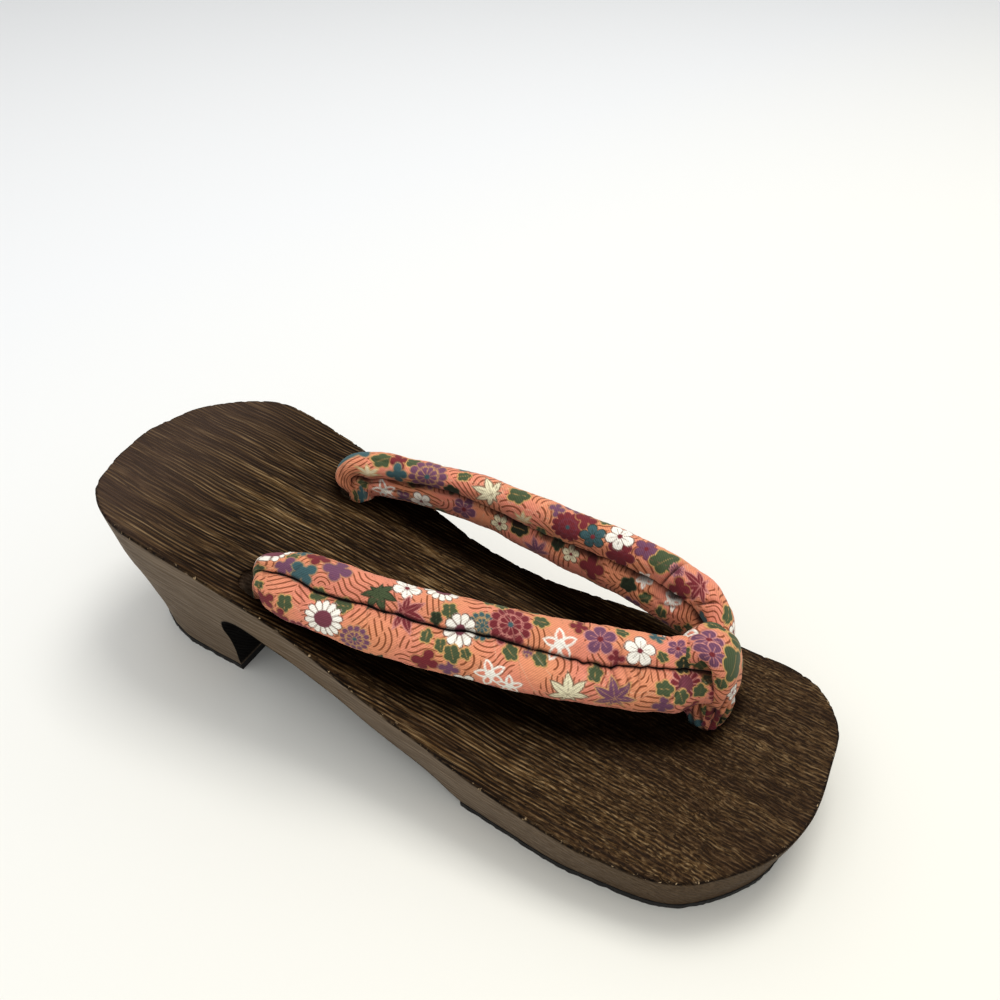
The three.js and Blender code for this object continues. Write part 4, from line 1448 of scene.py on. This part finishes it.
class GETA_OT_rubber(bpy.types.Operator):
    """Lay the rubber sheets under the heel and the forefoot"""

    bl_idname = "geta.rubber"
    bl_label = "Rubber sheets"

    def execute(self, context):
        rubber = plain_material("black_rubber", srgb(26, 24, 23), 0.75, 0.3)
        line = underside()
        low = line[line[:, 1] <= RUBBER + 1e-6, 0]
        heel = rubber_rings(low[low <= HEEL_BLOCK_END], False, True)
        fore = rubber_rings(low[low >= FOREFOOT_START], True, False)
        for name, rings, node in (
            ("heel_rubber", heel, "heel_sheet"), ("forefoot_rubber", fore, "forefoot_sheet"),
        ):
            spots = place(rings[..., 0], rings[..., 1], rings[..., 2])
            sheet = mesh_piece(name, spots, grid_faces(*rings.shape[:2]), rubber)
            weld(sheet.data)
            if node == "forefoot_sheet":
                hole = (TOE_HOLE_STATION, TOE_HOLE_OFFSET, TOE_HOLE_RADIUS)
                cut(sheet, [hole_cutter("sheet_plug", *hole, 24, rubber)])
            shade(sheet.data, 40.0)
            declare(sheet, "rubber", node)
        return {"FINISHED"}


class GETA_OT_strap(bpy.types.Operator):
    """Sew the strap's two padded bands"""

    bl_idname = "geta.strap"
    bl_label = "Strap"

    def execute(self, context):
        settings = context.scene.geta_strap
        cotton = cotton_material("strap_cotton", linework_group())
        bands = (
            ("outer_band", OUTER_BAND, -1, OUTER_HOLE_OFFSET, 31, OUTER_CREASES, OUTER_TUCKS,
             OUTER_PRINT, OUTER_LINES),
            ("big_toe_band", BIG_TOE_BAND, 1, BIG_TOE_HOLE_OFFSET, 36, BIG_TOE_CREASES,
             BIG_TOE_TUCKS, BIG_TOE_PRINT, BIG_TOE_LINES),
        )
        _, girth = even_angles(9, STRAP_WIDTH / 2, STRAP_THICKNESS / 2)
        for name, rows, side, offset, seed, creases, tucks, motifs, patches in bands:
            grid = band_surface(rows, side, offset, seed, settings.fold, creases, tucks)
            more, lines = scattered(grid[1][-1, 0, 0], girth, seed + 50, motifs)
            # depth is the painted shade of the creases and tucks.
            points, spot, depth, crease_shadow_line = close_ends(*grid)
            band = cloth_piece(
                name, points, spot, depth, girth, more + list(motifs), list(patches) + lines, cotton,
                crease_shadow_line,
            )
            weld(band.data)
            declare(band, "strap_cotton", "strap")
        return {"FINISHED"}


class GETA_OT_toe_loop(bpy.types.Operator):
    """Wrap the padded toe loop round the meeting of the bands"""

    bl_idname = "geta.toe_loop"
    bl_label = "Toe loop"

    def execute(self, context):
        cotton = cotton_material("loop_cotton", bpy.data.node_groups["printed_lines"])
        # depth is the painted shade of the loop's tucks.
        points, spot, depth, girth = loop_surface()
        more, lines = scattered(spot[-1, 0, 0], girth, 71, LOOP_PRINT)
        turns = 2 * spot[-1:, :, :1] - spot[-2:-1, :, :1]
        seam = np.concatenate([turns, spot[:1, :, 1:]], axis=-1)
        loop = cloth_piece(
            "toe_loop_roll", np.concatenate([points, points[:1]]), np.concatenate([spot, seam]),
            np.concatenate([depth, depth[:1]]), girth, more + list(LOOP_PRINT),
            list(LOOP_LINES) + lines, cotton,
        )
        weld(loop.data)
        declare(loop, "loop_cotton", "toe_loop")
        *grid, girth = foot_surface()
        # depth is the painted shade in the foot's grooves.
        points, spot, depth = close_ends(*grid)
        more, lines = scattered(24, girth, 72, ())
        foot = cloth_piece("toe_loop_foot", points, spot, depth, girth, more, lines, cotton)
        weld(foot.data)
        declare(foot, "loop_cotton", "toe_loop")
        return {"FINISHED"}


class GETA_OT_stage(bpy.types.Operator):
    """Set the floor, the lights and the camera"""

    bl_idname = "geta.stage"
    bl_label = "Stage"

    def execute(self, context):
        settings = context.scene.geta_stage
        material, wire, shader = new_material("pale_floor", 0.9)
        across, back, _ = wire.put("ShaderNodeSeparateXYZ", {0: wire.own_place()}).outputs
        # Painted light: the floor turns from cool away from the camera to warm near it.
        near = wire.plus(wire.times(across, -0.3), wire.times(back, -0.95))
        cool = tuple(c * k for c, k in zip(settings.floor_colour, FLOOR_FAR_LIGHT))
        warm = tuple(min(1.0, c * k) for c, k in zip(settings.floor_colour, FLOOR_NEAR_LIGHT))
        wire.fill(shader["Base Color"], wire.blend(wire.span(near, -0.35, 0.2), cool, warm))
        wire.fill(shader["Specular IOR Level"], 0.1)
        mesh = bpy.data.meshes.new("floor")
        corners = [(x * FLOOR_HALF, y * FLOOR_HALF, 0) for x, y in ((-1, -1), (1, -1), (1, 1), (-1, 1))]
        mesh.from_pydata(corners, [], [(0, 1, 2, 3)])
        mesh.materials.append(material)
        floor = bpy.data.objects.new("floor", mesh)
        context.scene.collection.objects.link(floor)
        world = bpy.data.worlds.new("studio")
        world.use_nodes = True
        sky = world.node_tree.nodes["Background"].inputs
        sky["Color"].default_value = SKY_COLOUR
        sky["Strength"].default_value = settings.sky
        context.scene.world = world
        context.scene.view_settings.view_transform = "Standard"
        context.scene.view_settings.look = "Medium High Contrast"
        self.light(context, "key", (0.42, -0.12, 1.3), 0.6, settings.key_power, (1.0, 0.985, 0.95))
        self.light(context, "top", (-0.5, -0.1, 1.5), 2.0, settings.top_power, (1.0, 1.0, 1.0))
        self.camera(context)
        return {"FINISHED"}

    @staticmethod
    def light(context, name, spot, size, power, colour):
        """A square light that faces the sandal."""
        lamp = bpy.data.lights.new(name, "AREA")
        lamp.size, lamp.energy, lamp.color = size, power, colour
        holder = bpy.data.objects.new(name, lamp)
        holder.location = spot
        holder.rotation_euler = (-Vector(spot)).to_track_quat("-Z", "Y").to_euler()
        context.scene.collection.objects.link(holder)

    @staticmethod
    def camera(context):
        """The camera at the photograph's place and angle, with its half degree of roll."""
        spot, roll = Vector(CAMERA_PLACE), np.radians(CAMERA_ROLL)
        forward = (Vector(CAMERA_AIM) - spot).normalized()
        level_right = forward.cross(Vector((0, 0, 1))).normalized()
        level_up = level_right.cross(forward)
        right = level_right * np.cos(roll) + level_up * np.sin(roll)
        up = level_up * np.cos(roll) - level_right * np.sin(roll)
        lens = bpy.data.cameras.new("photo_camera")
        lens.sensor_width, lens.lens = SENSOR_WIDTH, LENS_LENGTH
        lens.clip_start = 0.01
        holder = bpy.data.objects.new("photo_camera", lens)
        holder.matrix_world = Matrix((
            (right.x, up.x, -forward.x, spot.x),
            (right.y, up.y, -forward.y, spot.y),
            (right.z, up.z, -forward.z, spot.z),
            (0, 0, 0, 1),
        ))
        context.scene.collection.objects.link(holder)
        context.scene.camera = holder


class GETA_PT_panel(bpy.types.Panel):
    """Lists the sandal's pieces"""

    bl_idname = "GETA_PT_panel"
    bl_label = "Geta sandal"
    bl_space_type = "VIEW_3D"
    bl_region_type = "UI"
    bl_category = "Geta"

    def draw(self, context):
        layout = self.layout
        scene = context.scene
        layout.prop(scene.geta_sole, "nick_depth")
        layout.operator("geta.sole")
        layout.operator("geta.rubber")
        layout.prop(scene.geta_strap, "fold")
        layout.prop(scene.geta_strap, "fill")
        layout.operator("geta.strap")
        layout.operator("geta.toe_loop")
        layout.prop(scene.geta_stage, "floor_colour")
        layout.prop(scene.geta_stage, "key_power")
        layout.prop(scene.geta_stage, "top_power")
        layout.prop(scene.geta_stage, "sky")
        layout.operator("geta.stage")


CLASSES = (
    GetaSole, GetaStrap, GetaStage,
    GETA_OT_sole, GETA_OT_rubber, GETA_OT_strap, GETA_OT_toe_loop, GETA_OT_stage,
    GETA_PT_panel,
)


def register():
    """Registers the classes and puts the settings on the scene."""
    for item in CLASSES:
        bpy.utils.register_class(item)
    bpy.types.Scene.geta_sole = bpy.props.PointerProperty(type=GetaSole)
    bpy.types.Scene.geta_strap = bpy.props.PointerProperty(type=GetaStrap)
    bpy.types.Scene.geta_stage = bpy.props.PointerProperty(type=GetaStage)


def unregister():
    """Takes the settings off the scene and unregisters the classes."""
    del bpy.types.Scene.geta_stage
    del bpy.types.Scene.geta_strap
    del bpy.types.Scene.geta_sole
    for item in reversed(CLASSES):
        bpy.utils.unregister_class(item)


def main():
    """Builds each piece in turn."""
    register()
    bpy.ops.geta.sole()
    bpy.ops.geta.rubber()
    bpy.ops.geta.strap()
    bpy.ops.geta.toe_loop()
    bpy.ops.geta.stage()


if __name__ == "__main__":
    main()
